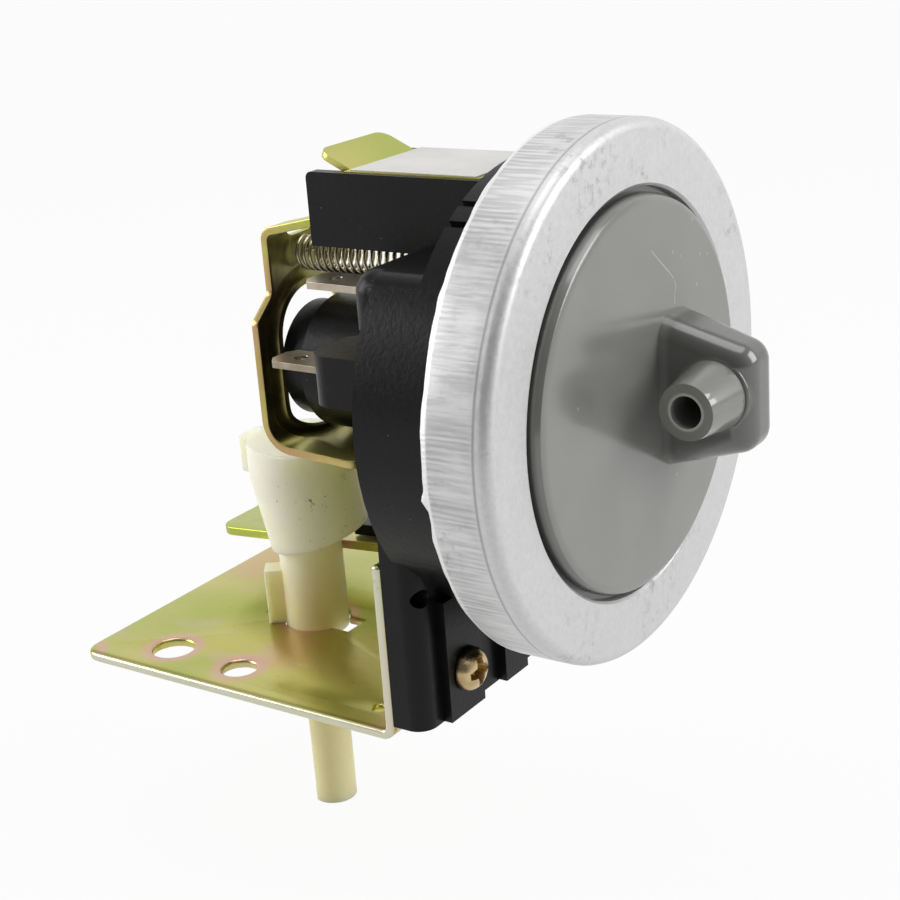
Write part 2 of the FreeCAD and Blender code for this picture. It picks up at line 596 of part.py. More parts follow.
def near(edge, x, y, z):
    """Whether the middle of an edge lies at the given place, with None for any."""
    middle = edge.CenterOfMass
    wanted = ((middle.x, x), (middle.y, y), (middle.z, z))
    return all(value is None or abs(found - value) < 0.01 for found, value in wanted)


def bracket_screw(node, y):
    """A pan-head screw with a cross recess, through the leg into the web."""
    at = (y, "screw_height")
    head = rod(node + "_head", "x", "screw_head_radius", (RIB_FRONT, RIB_FRONT + "+screw_head"), at)
    front = sum(size[word] for word in ("web_face", "leg_plate", "leg_block", "rib_stand", "screw_head"))
    pan = rounded(node + "_pan", head, 0.7 * size["screw_head"], lambda edge: near(edge, front, None, None))
    shank = rod(node + "_shank", "x", "screw_radius", ("web_face-steel-screw_past", RIB_FRONT + "+0.5"), at)
    deep = (RIB_FRONT + "+0.35*screw_head", RIB_FRONT + "+screw_head+1")
    arms = []
    bars = (("flat", "cross_long", "cross_wide"), ("upright", "cross_wide", "cross_long"))
    for word, across, tall in bars:
        arms.append(box("%s_cross_%s" % (node, word), deep, (y + "-" + across, y + "+" + across),
                        ("screw_height-" + tall, "screw_height+" + tall)))
    piece(node, cut(node, fuse(node + "_solid", pan, shank), *arms))


def spun_box(name, turn, xs, ys, zs):
    """A box turned about the shaft's axis."""
    obj = box(name, xs, ys, zs)
    obj.Placement.Rotation = FreeCAD.Rotation(Vector(0, 0, 1), size[turn])
    return bind(obj, {
        "Placement.Base.x": "cos(%s)*(%s)-sin(%s)*(%s)" % (turn, xs[0], turn, ys[0]),
        "Placement.Base.y": "sin(%s)*(%s)+cos(%s)*(%s)" % (turn, xs[0], turn, ys[0]),
    })


def ring(name, radius, middle):
    """A level circle for a loft."""
    return bind(place(doc.addObject("Part::Circle", name), *middle), {"Radius": radius})


def ramp_sector():
    """The rising ramp on the cam's top that the lever's foot rides on."""
    pitch = size["ramp_rise"] * 360 / size["ramp_turn"]
    rise = size["ramp_rise"]
    inner = Part.makeHelix(pitch, rise, size["ramp_inner"], 0, True).Edges[0]
    outer = Part.makeHelix(pitch, rise, size["barrel_radius"] - size["cam_offset"], 0, True).Edges[0]
    band = Part.makeRuledSurface(inner, outer).extrude(Vector(0, 0, -2))
    ramp = feature("ramp", band)
    ramp.Placement.Rotation = FreeCAD.Rotation(Vector(0, 0, 1), size["ramp_lead"])
    return bind(ramp, {"Placement.Base.z": "cam_top"})


def under_slant():
    """The space below the cone's slanted lower rim."""
    side = 4 * size["skirt_radius"]
    slant = box("skirt_slant", ("0", side), ("0", side), ("0", side))
    slant.Placement.Rotation = FreeCAD.Rotation(Vector(0, 0, 1), size["skirt_turn"]).multiply(
        FreeCAD.Rotation(Vector(0, 1, 0), -size["skirt_slope"]))
    corner = slant.Placement.Rotation.multVec(Vector(-0.5 * side, -0.5 * side, -side))
    return place(slant, corner.x, corner.y, "skirt_middle+(%s)" % corner.z)


def selector_cam():
    """One moulding: D shaft, hub with a key rib, slanted cone, barrel with a lug, ramp on top."""
    offset = ("cam_offset", "0")
    centre = ("0", "0")
    flat_from = "flat_length-shaft_length"
    shaft = rod("shaft_round", "z", "shaft_radius", (flat_from, "key_lift+1"), centre)
    taper = cone("shaft_taper", "z", ("shaft_radius-2*shaft_draft", "shaft_radius-shaft_draft"),
                 ("-shaft_length", flat_from), centre)
    end = cut("shaft_end", taper, spun_box(
        "shaft_flat", "flat_turn", ("shaft_radius-flat_depth", "shaft_radius+1"),
        ("-shaft_radius", "shaft_radius"), ("-shaft_length-1", flat_from)))
    hub = rod("cam_hub", "z", "hub_radius", ("key_lift", "cam_top-1"), centre)
    key = spun_box("cam_key", "key_turn", ("0", "key_reach"), ("-0.5*key_width", "0.5*key_width"),
                   ("steel+key_lift", "key_top"))
    barrel = rod("cam_barrel", "z", "barrel_radius", ("barrel_from", "cam_top"), offset)
    low_rim = ring("skirt_low_rim", "skirt_radius",
                   ("skirt_shift*cos(skirt_turn)", "skirt_shift*sin(skirt_turn)", "skirt_from"))
    high_rim = ring("skirt_high_rim", "barrel_radius", ("cam_offset", "0", "barrel_from"))
    funnel = doc.addObject("Part::Loft", "cam_funnel")
    funnel.Sections = [low_rim, high_rim]
    funnel.Solid = True
    skirt = cut("cam_skirt", funnel, under_slant())
    block = spun_box("cam_lug_block", "lug_turn", ("0", "lug_reach"), ("-0.5*lug_width", "0.5*lug_width"),
                     ("lug_from", "cam_top"))
    tip, top = size["lug_reach"], size["cam_top"]
    lug = rounded("cam_lug", block, size["lug_round"],
                  lambda edge: edge.CenterOfMass.x < 0.01 - tip and edge.CenterOfMass.z < top - 0.01)
    piece("selector_cam", fuse("selector_cam", shaft, end, hub, key, barrel, skirt, lug, ramp_sector()))


def setting_lever():
    """Sheet steel plate with a slot, a foot over the cam and two arms that reach the pivot in the box."""
    rise = "tan(arm_rise)"
    drop = "tan(foot_drop)"
    under = "foot_height-(%s-dimple_x)*" + drop
    root = "arm_root+(%s-lever_x-lever_steel)*" + rise
    side = side_plate("lever_side", [
        ("lever_x", under % "lever_x"),
        ("foot_length", under % "foot_length"),
        ("foot_length", "lever_steel+" + under % "foot_length"),
        ("lever_x+lever_steel", "lever_steel+" + under % "lever_x"),
        ("lever_x+lever_steel", "arm_root"),
        ("pivot_x+0.5", root % "(pivot_x+0.5)"),
        ("pivot_x+0.5", "lever_steel+" + root % "(pivot_x+0.5)"),
        ("lever_x", "lever_steel+" + root % "lever_x"),
    ], "-plate_half", "plate_half")
    doc.recompute()
    steel = size["lever_steel"]
    across = [e for e in side.Shape.Edges if near(e, None, 0, None)]
    corners = sorted(across, key=lambda e: (round(e.CenterOfMass.x, 3), e.CenterOfMass.z))
    low_outer, top_outer = corners[0].CenterOfMass, corners[1].CenterOfMass
    low_inner, top_inner = corners[2].CenterOfMass, corners[3].CenterOfMass
    bent = side
    for word, middle, radius in (
        ("low_outer", low_outer, size["lever_bend"] + steel),
        ("low_inner", low_inner, size["lever_bend"]),
        ("top_outer", top_outer, size["lever_top_bend"] + steel),
        ("top_inner", top_inner, size["lever_top_bend"]),
    ):
        bent = rounded("lever_" + word, bent, radius, lambda edge, at=middle: near(edge, at.x, at.y, at.z))
    pivot = ("pivot_x", "pivot_z")
    through = ("lever_x-1", "lever_x+lever_steel+lever_bend")
    eye = rod("lever_eye", "y", "eye_radius", ("-neck_half", "neck_half"), pivot)
    tools = [
        rod("lever_pin_hole", "y", "pivot_radius+running_play", ("-neck_half-1", "neck_half+1"), pivot),
        box("fork_gap", ("lever_x+lever_steel+1", "pivot_x+eye_radius+1"), ("-fork_half", "fork_half"),
            ("arm_root-1", "pivot_z+eye_radius+2")),
        box("slot_middle", through, ("-slot_half", "slot_half"),
            ("slot_low+slot_half", "slot_high-slot_half")),
        rod("slot_bottom", "x", "slot_half", through, ("0", "slot_low+slot_half")),
        rod("slot_top", "x", "slot_half", through, ("0", "slot_high-slot_half")),
    ]
    for word, sign in (("near", "-"), ("far", "")):
        tools.append(padded("lever_shoulder_" + word, "YZ_Plane", [
            (sign + "neck_half", "neck_low"),
            (sign + "(plate_half+1)", "neck_low-shoulder"),
            (sign + "(plate_half+1)", "pivot_z+10"),
            (sign + "neck_half", "pivot_z+10"),
        ], "pivot_x+5", ("0", "0", "0")))
    dimple = cone("lever_dimple", "z", ("0.5*dimple_radius", "dimple_radius"),
                  ("cam_top+dimple_gap+ramp_rest", "foot_height+0.3"), ("dimple_x", "0"))
    plate = cut("lever_cut", fuse("lever_solid", bent, eye), *tools)
    piece("setting_lever", fuse("setting_lever", plate, dimple))


def top_cover():
    """Plated lid let into the box's walls, with a raised tab at its open end."""
    reach = "tab_length*cos(tab_rise)"
    rise = "tab_length*sin(tab_rise)"
    lid = box("cover_plate", ("cover_left", "cover_right"), ("-cover_half", "cover_half"),
              ("cover_low", "cover_high"))
    tab = side_plate("cover_tab", [
        ("cover_left+1", "cover_low"),
        ("cover_left+1", "cover_high"),
        ("cover_left+cover_thick*tan(0.5*tab_rise)", "cover_high"),
        ("cover_left-%s+cover_thick*sin(tab_rise)" % reach, "cover_low+cover_thick*cos(tab_rise)+" + rise),
        ("cover_left-" + reach, "cover_low+" + rise),
        ("cover_left", "cover_low"),
    ], "-tab_half", "tab_half")
    doc.recompute()
    thick = size["cover_thick"]
    tip = size["cover_left"] - size["tab_length"] * math.cos(math.radians(size["tab_rise"]))

    def at_tip(edge):
        middle = edge.CenterOfMass
        outside = abs(middle.y) > 0.9 * size["tab_half"]
        return edge.Length < 1.1 * thick and middle.x < tip + thick and outside

    tab = rounded("tab_round", tab, size["tab_corner"], at_tip)
    piece("top_cover", fuse("top_cover", lid, tab))
    piece("cover_label", box("cover_label", ("cover_left+label_edge", "cover_right-label_edge"),
                             ("-label_half", "label_half"), ("cover_high", "cover_high+label_thick")))


def blade(word, tip, inner):
    """A spade blade with cut corners and a small hole, from its tip to inner."""
    name = word
    strip = box(name + "_strip", (tip, inner), ("-%s_y" % word, "-%s_y+blade_width" % word),
                ("%s_z" % word, "%s_z+blade_thick" % word))
    left = size[tip]
    doc.recompute()
    pointed = doc.addObject("Part::Chamfer", name + "_tip")
    pointed.Base = strip
    pointed.Edges = [(i, size["tip_long"], size["tip_wide"])
                     for i, edge in enumerate(strip.Shape.Edges, start=1)
                     if upright(edge) and abs(edge.CenterOfMass.x - left) < 0.01]
    hole = rod(name + "_hole", "z", "blade_hole", ("%s_z-1" % word, "%s_z+2" % word),
               (tip + "+hole_back", "-%s_y+0.5*blade_width" % word))
    return cut(name + "_blade", pointed, hole)


def terminals():
    """Lower terminal with the fixed contact, upper terminal with the snap blade and moving contact."""
    strip_front = "strip_x+blade_thick"
    strip = box("contact_strip", ("strip_x", strip_front), ("-low_y", "-low_y+blade_width"),
                ("strip_low", "low_z+blade_thick"))
    piece("terminal_contact", fuse("terminal_contact", blade("low", "low_tip", strip_front), strip))
    seat = ("-contact_y", "contact_z")
    fixed_front = strip_front + "+contact_thick"
    piece("fixed_contact", rod("fixed_contact", "x", "contact_radius", (strip_front, fixed_front), seat))
    moving = fixed_front + "+contact_gap"
    snap = moving + "+contact_thick"
    piece("moving_contact", rod("moving_contact", "x", "contact_radius", (moving, snap), seat))
    piece("snap_blade", box("snap_blade", (snap, snap + "+snap_thick"), ("-snap_near", "-snap_far"),
                            ("snap_low", "snap_top")))
    stem = snap + "+snap_thick+post_air"
    stem_front = stem + "+blade_thick"
    post = box("common_post", (stem, stem_front), ("-high_y", "-high_y+blade_width"),
               ("leg_low", "high_z+blade_thick"))
    piece("terminal_common", fuse("terminal_common", blade("high", "high_tip", stem_front), post))


def trip_lever():
    """Sheet lever in the drum: forked round the stem, with ears on a pin and an arm to the snap blade."""
    front = "trip_x+trip_steel"
    plate = box("trip_plate", ("trip_x", front), ("-trip_half", "trip_half"), ("trip_bottom", "trip_top"))
    arm = box("trip_arm", ("trip_x", front), ("-trip_arm_reach", "-trip_half+1"),
              ("trip_arm_low", "trip_arm_high"))
    parts = [plate, arm]
    inside = "trip_x+0.2"
    inner = "trip_half-trip_steel"
    for side, ys in (("near", ("-trip_half", "-(%s)" % inner)), ("far", (inner, "trip_half"))):
        parts.append(box("trip_ear_" + side, ("trip_pivot_x-trip_ear", inside), ys,
                         ("trip_pivot_z-trip_ear", "trip_pivot_z+trip_ear")))
    for side, y in (("near", "-trip_bump_y"), ("far", "trip_bump_y")):
        parts.append(rod("trip_bump_" + side, "x", "trip_bump",
                         (inside, "hub_face-running_play"), (y, AXIS)))
    back = "strip_x+blade_thick+2*contact_thick+contact_gap+snap_thick"
    parts.append(rod("trip_pip", "x", "trip_pip", (back + "+pip_gap", inside),
                     ("-trip_pip_y", "trip_pip_z")))
    gap = box("trip_fork", ("trip_x-1", front + "+1"), ("-trip_slot", "trip_slot"), ("trip_bottom-1", AXIS))
    round_end = rod("trip_fork_end", "x", "trip_slot", ("trip_x-1", front + "+1"), CENTRE)
    way = rod("trip_pin_hole", "y", "trip_pin+running_play", ("-trip_half-1", "trip_half+1"), TRIP_PIVOT)
    piece("trip_lever", cut("trip_lever", fuse("trip_solid", *parts), gap, round_end, way))
    piece("trip_lever_pin", rod("trip_lever_pin", "y", "trip_pin", ("-" + TRIP_PIN_REACH, TRIP_PIN_REACH),
                                TRIP_PIVOT))


def plunger():
    """Plate behind the diaphragm, hub that pushes the trip lever, stem and spring collar in the tube."""
    piece("plunger", fuse(
        "plunger",
        rod("plunger_disc", "x", "plunger_radius", ("plunger_x", PLATE_FRONT), CENTRE),
        rod("plunger_hub", "x", "hub_seat", ("hub_face", "plunger_x+0.5"), CENTRE),
        rod("plunger_stem", "x", "stem_radius", ("hub_face-stem_reach", "hub_face+0.5"), CENTRE),
        rod("plunger_collar", "x", "collar_radius", ("return_end", "return_end+collar_thick"), CENTRE),
    ))


def springs_and_plug():
    """The two springs as hollow tubes of their outer size, the pivot pin and the plug in the tube end."""
    plug_face = "tube_end+plug_length"
    piece("return_spring", tube("return_spring", "x", "return_radius", "return_radius-return_wire",
                                (plug_face, "return_end"), CENTRE))
    piece("range_spring", tube("range_spring", "x", "range_radius", "range_radius-range_wire",
                               ("lever_x+lever_steel", "trip_x"), ("0", "range_height")))
    disc = rod("plug_round", "x", "tube_bore", ("tube_end", plug_face), CENTRE)
    slot = box("plug_slot_cut", ("tube_end-1", "tube_end+plug_slot_deep"), ("-tube_bore-1", "tube_bore+1"),
               ("axis_height-0.5*plug_slot", "axis_height+0.5*plug_slot"))
    piece("calibration_plug", cut("calibration_plug", disc, slot))
    piece("lever_pivot_pin", rod("lever_pivot_pin", "y", "pivot_radius", LEVER_PIN_ENDS,
                                 ("pivot_x", "pivot_z")))


def check_and_write():
    doc.recompute()
    faults = [obj.Name for obj in doc.Objects if "Invalid" in obj.State or "Error" in obj.State]
    if faults:
        raise RuntimeError("objects with errors: %s" % faults)
    os.makedirs("parts", exist_ok=True)
    for obj in pieces:
        shape = obj.Shape
        if shape.isNull() or not shape.isValid() or len(shape.Solids) != 1:
            raise RuntimeError("%s is not one valid solid (%d)" % (obj.Label, len(shape.Solids)))
        shape.exportStep("parts/%s.step" % obj.Label)
        print("%-18s %9.2f mm3" % (obj.Label, shape.Volume))


crimp_ring()
pressure_cap()
diaphragm()
main_housing()
mounting_bracket()
bracket_screw("bracket_screw_near", "-screw_y")
bracket_screw("bracket_screw_far", "screw_y")
selector_cam()
setting_lever()
top_cover()
terminals()
trip_lever()
plunger()
springs_and_plug()
check_and_write()
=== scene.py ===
import bisect
import json
import math

import bmesh
import bpy
from mathutils import Matrix, Vector, noise


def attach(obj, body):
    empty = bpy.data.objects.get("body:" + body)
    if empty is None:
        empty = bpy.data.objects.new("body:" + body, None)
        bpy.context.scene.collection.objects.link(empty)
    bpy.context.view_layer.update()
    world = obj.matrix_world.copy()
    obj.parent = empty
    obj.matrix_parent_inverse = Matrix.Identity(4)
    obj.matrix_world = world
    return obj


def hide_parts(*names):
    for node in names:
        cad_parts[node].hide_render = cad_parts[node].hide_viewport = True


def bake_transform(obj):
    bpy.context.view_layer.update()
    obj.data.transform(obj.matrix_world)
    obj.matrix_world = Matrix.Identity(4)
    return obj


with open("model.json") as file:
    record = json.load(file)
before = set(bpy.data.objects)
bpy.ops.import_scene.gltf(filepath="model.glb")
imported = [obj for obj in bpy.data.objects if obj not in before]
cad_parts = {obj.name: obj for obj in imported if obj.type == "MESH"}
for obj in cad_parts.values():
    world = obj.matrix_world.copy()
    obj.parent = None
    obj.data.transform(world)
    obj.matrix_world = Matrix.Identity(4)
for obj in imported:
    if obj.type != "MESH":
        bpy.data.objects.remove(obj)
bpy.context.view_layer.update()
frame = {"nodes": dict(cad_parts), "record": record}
scene = bpy.context.scene

# Sizes in millimetres
MM = 0.001
AXIS = 38.0                            # height of the diaphragm axis
RING_CORNER = (46.8, 48.4)             # x where the ring's side wall rounds over into its face
RING_FOLD = (47.65, 47.85, 47.95, 48.15)
RING_REAR = (42.1, 42.4)               # x where its crimped rear edge starts
NICK = 185.8                           # degrees round the ring
NIPPLE_X, NIPPLE_TIP = 57.3, -2.9
CAP_SCRATCH = ((2.1, 54.1), (7.0, 50.0), (7.5, 49.0), (7.1, 46.9))
PLATE_HALF, PLATE_THICK = 22.0, 1.2    # the bracket's base plate
PLATE_HOLES = ((-11.3, -16.0, 2.7), (0.5, -16.7, 2.2))
HUB_HOLE = 4.35
EYE_X, EYE_Z = 17.0, 58.3              # the lever's pivot
SCREW_Y, SCREW_Z = 14.2, 7.4

PHOTO_TURN = math.radians(35.4)        # the photograph's viewpoint, round the part
PAPER_GLOW = 0.94                      # how white the paper and the backdrop look to the camera


# Finishes

class Value:
    """A shader socket that can be added, multiplied and raised to a power like a number."""

    def __init__(self, maker, socket):
        self.maker = maker
        self.socket = socket

    def sum(self, operation, *terms):
        return self.maker.node("ShaderNodeMath", {"operation": operation}, terms)

    def __add__(self, other):
        return self.sum("ADD", self, other)

    def __sub__(self, other):
        return self.sum("SUBTRACT", self, other)

    def __rsub__(self, other):
        return self.sum("SUBTRACT", other, self)

    def __mul__(self, other):
        return self.sum("MULTIPLY", self, other)

    def __pow__(self, other):
        return self.sum("POWER", self, other)

    __radd__ = __add__
    __rmul__ = __mul__

    def ramp(self, low, high):
        """0 below low, 1 above high, smooth between."""
        return self.maker.node("ShaderNodeMapRange", {"interpolation_type": "SMOOTHSTEP"},
                               {"Value": self, "From Min": low, "From Max": high})

    def past(self, low, high):
        """The same as ramp for a coordinate, with the marks in millimetres."""
        return self.ramp(low * MM, high * MM)

    def band(self, low, full, later, high):
        """1 between full and later, 0 outside low and high, in millimetres."""
        return self.past(low, full) * (1 - self.past(later, high))

    def wave(self):
        return self.sum("SINE", self)

    def size(self):
        return self.sum("ABSOLUTE", self)


def tone(red, green, blue):
    """A colour as it reads on a screen, 0 to 255, for the shader."""
    def straight(part):
        part /= 255
        return part / 12.92 if part <= 0.04045 else ((part + 0.055) / 1.055) ** 2.4
    return (straight(red), straight(green), straight(blue), 1.0)


class Nodes:
    """A node tree made from expressions."""

    def __init__(self, tree):
        self.tree = tree

    def put(self, socket, value):
        if isinstance(value, Value):
            self.tree.links.new(value.socket, socket)
        else:
            socket.default_value = value

    def node(self, kind, settings=None, inputs=None, output=0):
        """A node with its settings and inputs, as its output or, for None, as the list of them all."""
        made = self.tree.nodes.new(kind)
        for key, value in (settings or {}).items():
            setattr(made, key, value)
        pairs = inputs.items() if isinstance(inputs, dict) else enumerate(inputs or ())
        for key, value in pairs:
            self.put(made.inputs[key], value)
        if output is None:
            return [Value(self, socket) for socket in made.outputs]
        return Value(self, made.outputs[output])

    def split(self, vector):
        """The three parts of a vector."""
        return self.node("ShaderNodeSeparateXYZ", {}, (vector,), None)


class Finish(Nodes):
    """One material, made from expressions."""

    def __init__(self, name):
        self.material = bpy.data.materials.new(name)
        self.material.use_nodes = True
        super().__init__(self.material.node_tree)
        self.shader = self.tree.nodes["Principled BSDF"]
        self.place = self.node("ShaderNodeTexCoord", output="Object")

    def stretched(self, scale, turn=(0.0, 0.0, 0.0)):
        return self.node("ShaderNodeMapping", {}, {"Vector": self.place, "Scale": scale, "Rotation": turn})

    def grain(self, scale, detail=3.0, rough=0.55, where=None):
        return self.node("ShaderNodeTexNoise", {}, {"Vector": where or self.place, "Scale": scale,
                                                    "Detail": detail, "Roughness": rough})

    def specks(self, scale, size):
        """Small round spots, 1 inside and 0 outside."""
        cells = self.node("ShaderNodeTexVoronoi", {}, {"Vector": self.place, "Scale": scale})
        return 1 - cells.ramp(size * 0.6, size)

    def mix(self, share, low, high):
        return self.node("ShaderNodeMix", {"data_type": "RGBA", "clamp_factor": True},
                         {0: share, 6: low, 7: high}, 2)

    def relief(self, height, depth):
        return self.node("ShaderNodeBump", {}, {"Height": height, "Strength": 1.0, "Distance": depth})

    def surface(self, **sockets):
        for key, value in sockets.items():
            self.put(self.shader.inputs[key.replace("_", " ").title().replace("Ior", "IOR")], value)
        return self.material


def rolled_aluminium():
    """Ring metal: dull face, side wall with fine press marks along the axis, dark scuffs."""
    skin = Finish("rolled_aluminium")
    x, y, z = skin.split(skin.place)
    around = skin.node("ShaderNodeMath", {"operation": "ARCTAN2"}, (z - AXIS * MM, y))
    side = 1 - x.past(*RING_CORNER)
    drawn = skin.stretched((0.1, 1.0, 1.0))
    uneven = skin.grain(430.0, 3.0, 0.55, drawn)
    marks = (around * 300 + uneven * 14).wave() * 0.5 + 0.5
    patches = skin.grain(150.0, 3.0, 0.5, skin.stretched((0.6, 1.0, 1.0))).ramp(0.4, 0.62)
    ribs = marks * side * patches
    hairs = skin.grain(1500.0, 3.0, 0.6, drawn).ramp(0.4, 0.64) * side
    scuffs = skin.grain(800.0, 5.0, 0.7).ramp(0.5, 0.68) * skin.grain(90.0, 2.0).ramp(0.5, 0.66)
    mottle = skin.grain(1700.0, 4.0, 0.7).ramp(0.3, 0.7)
    base = skin.mix(mottle, tone(200, 200, 201), tone(210, 210, 210))
    base = skin.mix(side * 0.6, base, tone(222, 222, 221))
    base = skin.mix(ribs * 0.45, base, tone(146, 146, 147))
    base = skin.mix(hairs * 0.3, base, tone(140, 140, 142))
    base = skin.mix(scuffs * 0.5, base, tone(128, 128, 130))
    base = skin.mix(x.band(*RING_FOLD) * 0.5, base, tone(118, 118, 120))
    rear = 1 - x.past(*RING_REAR)
    base = skin.mix(rear, base, tone(232, 232, 232))
    fine = skin.grain(2600.0, 3.0)
    height = fine * 0.3 + ribs * 0.5 - scuffs * 0.2 + hairs * 0.2
    return skin.surface(base_color=base, metallic=0.6, roughness=0.4 + scuffs * 0.15 + mottle * 0.1,
                        normal=skin.relief(height, 0.00004))


def grey_moulding():
    """Cap plastic: mid grey, polished, a few pale specks, a thin bent scratch, painted shade on the boss
    with worn pale spots, a painted highlight round the nipple's bore and painted shade on the disc's side
    wall inside the ring.
    """
    skin = Finish("grey_moulding")
    x, y, z = skin.split(skin.place)
    cloud = skin.grain(60.0, 2.0)
    fine = skin.grain(2200.0, 3.0)
    specks = skin.specks(260.0, 0.07)
    base = skin.mix(cloud.ramp(0.3, 0.7), tone(116, 117, 112), tone(123, 124, 119))
    base = skin.mix(specks * 0.7, base, tone(150, 152, 148))
    scratch = scratch_line(y, z, CAP_SCRATCH) * x.past(50.6, 50.8)
    base = skin.mix(scratch * 0.7, base, tone(176, 178, 174))
    dx, dz = x - NIPPLE_X * MM, z - AXIS * MM
    away = (dx * dx + dz * dz) ** 0.5
    # Painted shade: the boss is darkened all over, and worn pale spots lift it again in places.
    boss_shade = x.past(51.4, 52.4) * away.past(4.0, 4.6)
    worn = skin.grain(700.0, 4.0, 0.7).ramp(0.6, 0.75)
    base = skin.mix(boss_shade * 0.6, base, tone(62, 63, 59))
    base = skin.mix(boss_shade * worn * 0.4, base, tone(128, 130, 124))
    # Painted highlight: a pale ring round the nipple's bore at its tip, where the chamfer catches the
    # light.
    bore_highlight = away.band(1.8, 1.9, 2.0, 2.3) * (1 - y.past(NIPPLE_TIP, NIPPLE_TIP + 0.5))
    base = skin.mix(bore_highlight * 0.8, base, tone(190, 191, 178))
    # Painted shade: the disc's side wall, down in the gap inside the ring, is darkened.
    groove_shade = 1 - x.past(49.2, 50.2)
    base = skin.mix(groove_shade * 0.75, base, tone(46, 47, 44))
    height = fine * 0.3 + cloud * 0.5 - scratch * 2
    return skin.surface(base_color=base, roughness=0.15 + fine * 0.05, specular_ior_level=1.0,
                        normal=skin.relief(height, 0.000015))


def scratch_line(across, up, points):
    """1 on a thin broken line through the points, given in millimetres."""
    total = None
    for (y0, z0), (y1, z1) in zip(points, points[1:]):
        long = math.hypot(y1 - y0, z1 - z0)
        ey, ez = (y1 - y0) / long, (z1 - z0) / long
        dy, dz = across - y0 * MM, up - z0 * MM
        along = dy * ey + dz * ez
        off = (dy * ez - dz * ey).size()
        line = (1 - off.past(0.03, 0.12)) * along.band(-0.1, 0.0, long, long + 0.1)
        total = line if total is None else total + line
    return total


def black_moulding():
    """Housing plastic: satin black with faint flow marks, dust and grey rubbed spots."""
    skin = Finish("black_moulding")
    cloud = skin.grain(90.0, 3.0)
    fine = skin.grain(1800.0, 4.0)
    dust = skin.specks(420.0, 0.06)
    rubbed = skin.grain(240.0, 5.0, 0.7).ramp(0.62, 0.8)
    base = skin.mix(cloud.ramp(0.3, 0.7), tone(13, 13, 13), tone(20, 20, 20))
    base = skin.mix(rubbed * 0.3, base, tone(52, 52, 51))
    base = skin.mix(dust * 0.4, base, tone(96, 96, 94))
    height = fine * 0.7 + cloud * 0.4
    return skin.surface(base_color=base, roughness=0.24 + fine * 0.16, specular_ior_level=0.18,
                        normal=skin.relief(height, 0.00004))


def yellow_zinc(name="yellow_zinc", holes=(), inner_shade_pink_edges=False):
    """Plated sheet: straw yellow that drifts to green, pink and brown.

    holes are (x, y, radius), each with a pink halo, and bring the base plate's near edge: a painted
    highlight along its rim and a darker brown line just inside it. The last flag paints shade on the faces
    turned to the coil spring and turns the side edges pink.
    """
    skin = Finish(name)
    x, y, z = skin.split(skin.place)
    drift = skin.grain(48.0, 1.5, 0.45, skin.stretched((1.0, 1.0, 1.6)))
    second = skin.grain(75.0, 2.0, 0.5, skin.stretched((1.0, 1.4, 1.0), (0.4, 0.2, 0.7)))
    fine = skin.grain(900.0, 3.0)
    base = skin.mix(drift.ramp(0.36, 0.56), tone(172, 180, 78), tone(194, 188, 104))
    base = skin.mix(drift.ramp(0.58, 0.68) * 0.55, base, tone(214, 170, 136))
    base = skin.mix(second.ramp(0.6, 0.76) * 0.6, base, tone(166, 152, 58))
    base = skin.mix((1 - second.ramp(0.26, 0.4)) * 0.4, base, tone(206, 178, 168))
    for across, deep, radius in holes:
        dx, dy = x - across * MM, y - deep * MM
        away = (dx * dx + dy * dy) ** 0.5
        halo = away.band(radius, radius + 0.3, radius + 0.4, radius + 2.2)
        base = skin.mix(halo * 0.75, base, tone(214, 164, 158))
    if holes:
        edge = -PLATE_HALF
        # Painted highlight: the near edge's rounded rim is painted pale grey; a darker brown line runs just
        # inside it on the top face.
        base = skin.mix((1 - y.past(edge, edge + 0.4)) * 0.8, base, tone(206, 205, 192))
        dark_edge_line = (1 - y.past(edge + 0.4, edge + 1.2)) * y.past(edge + 0.2, edge + 0.5) * z.past(0.8, 1.1)
        base = skin.mix(dark_edge_line * 0.6, base, tone(96, 74, 40))
    stains = skin.grain(330.0, 4.0, 0.7).ramp(0.66, 0.8)
    base = skin.mix(stains * 0.4, base, tone(122, 112, 74))
    if inner_shade_pink_edges:
        # Painted shade: faces turned to +X, towards the coil spring and the housing, are darkened to brown;
        # the side edges turn pink.
        facing = skin.split(skin.node("ShaderNodeTexCoord", output="Normal"))
        patches = skin.grain(120.0, 3.0).ramp(0.3, 0.62)
        base = skin.mix(facing[0].ramp(0.3, 0.7) * (0.45 + patches * 0.4), base, tone(52, 44, 30))
        base = skin.mix(facing[1].size().ramp(0.6, 0.9) * patches * 0.6, base, tone(170, 118, 104))
    lines = skin.grain(500.0, 2.0, 0.5, skin.stretched((0.25, 1.0, 1.0)))
    return skin.surface(base_color=base, metallic=0.85, roughness=0.24 + fine * 0.12 + stains * 0.2,
                        normal=skin.relief(fine * 0.5 + lines * 0.5, 0.00004))


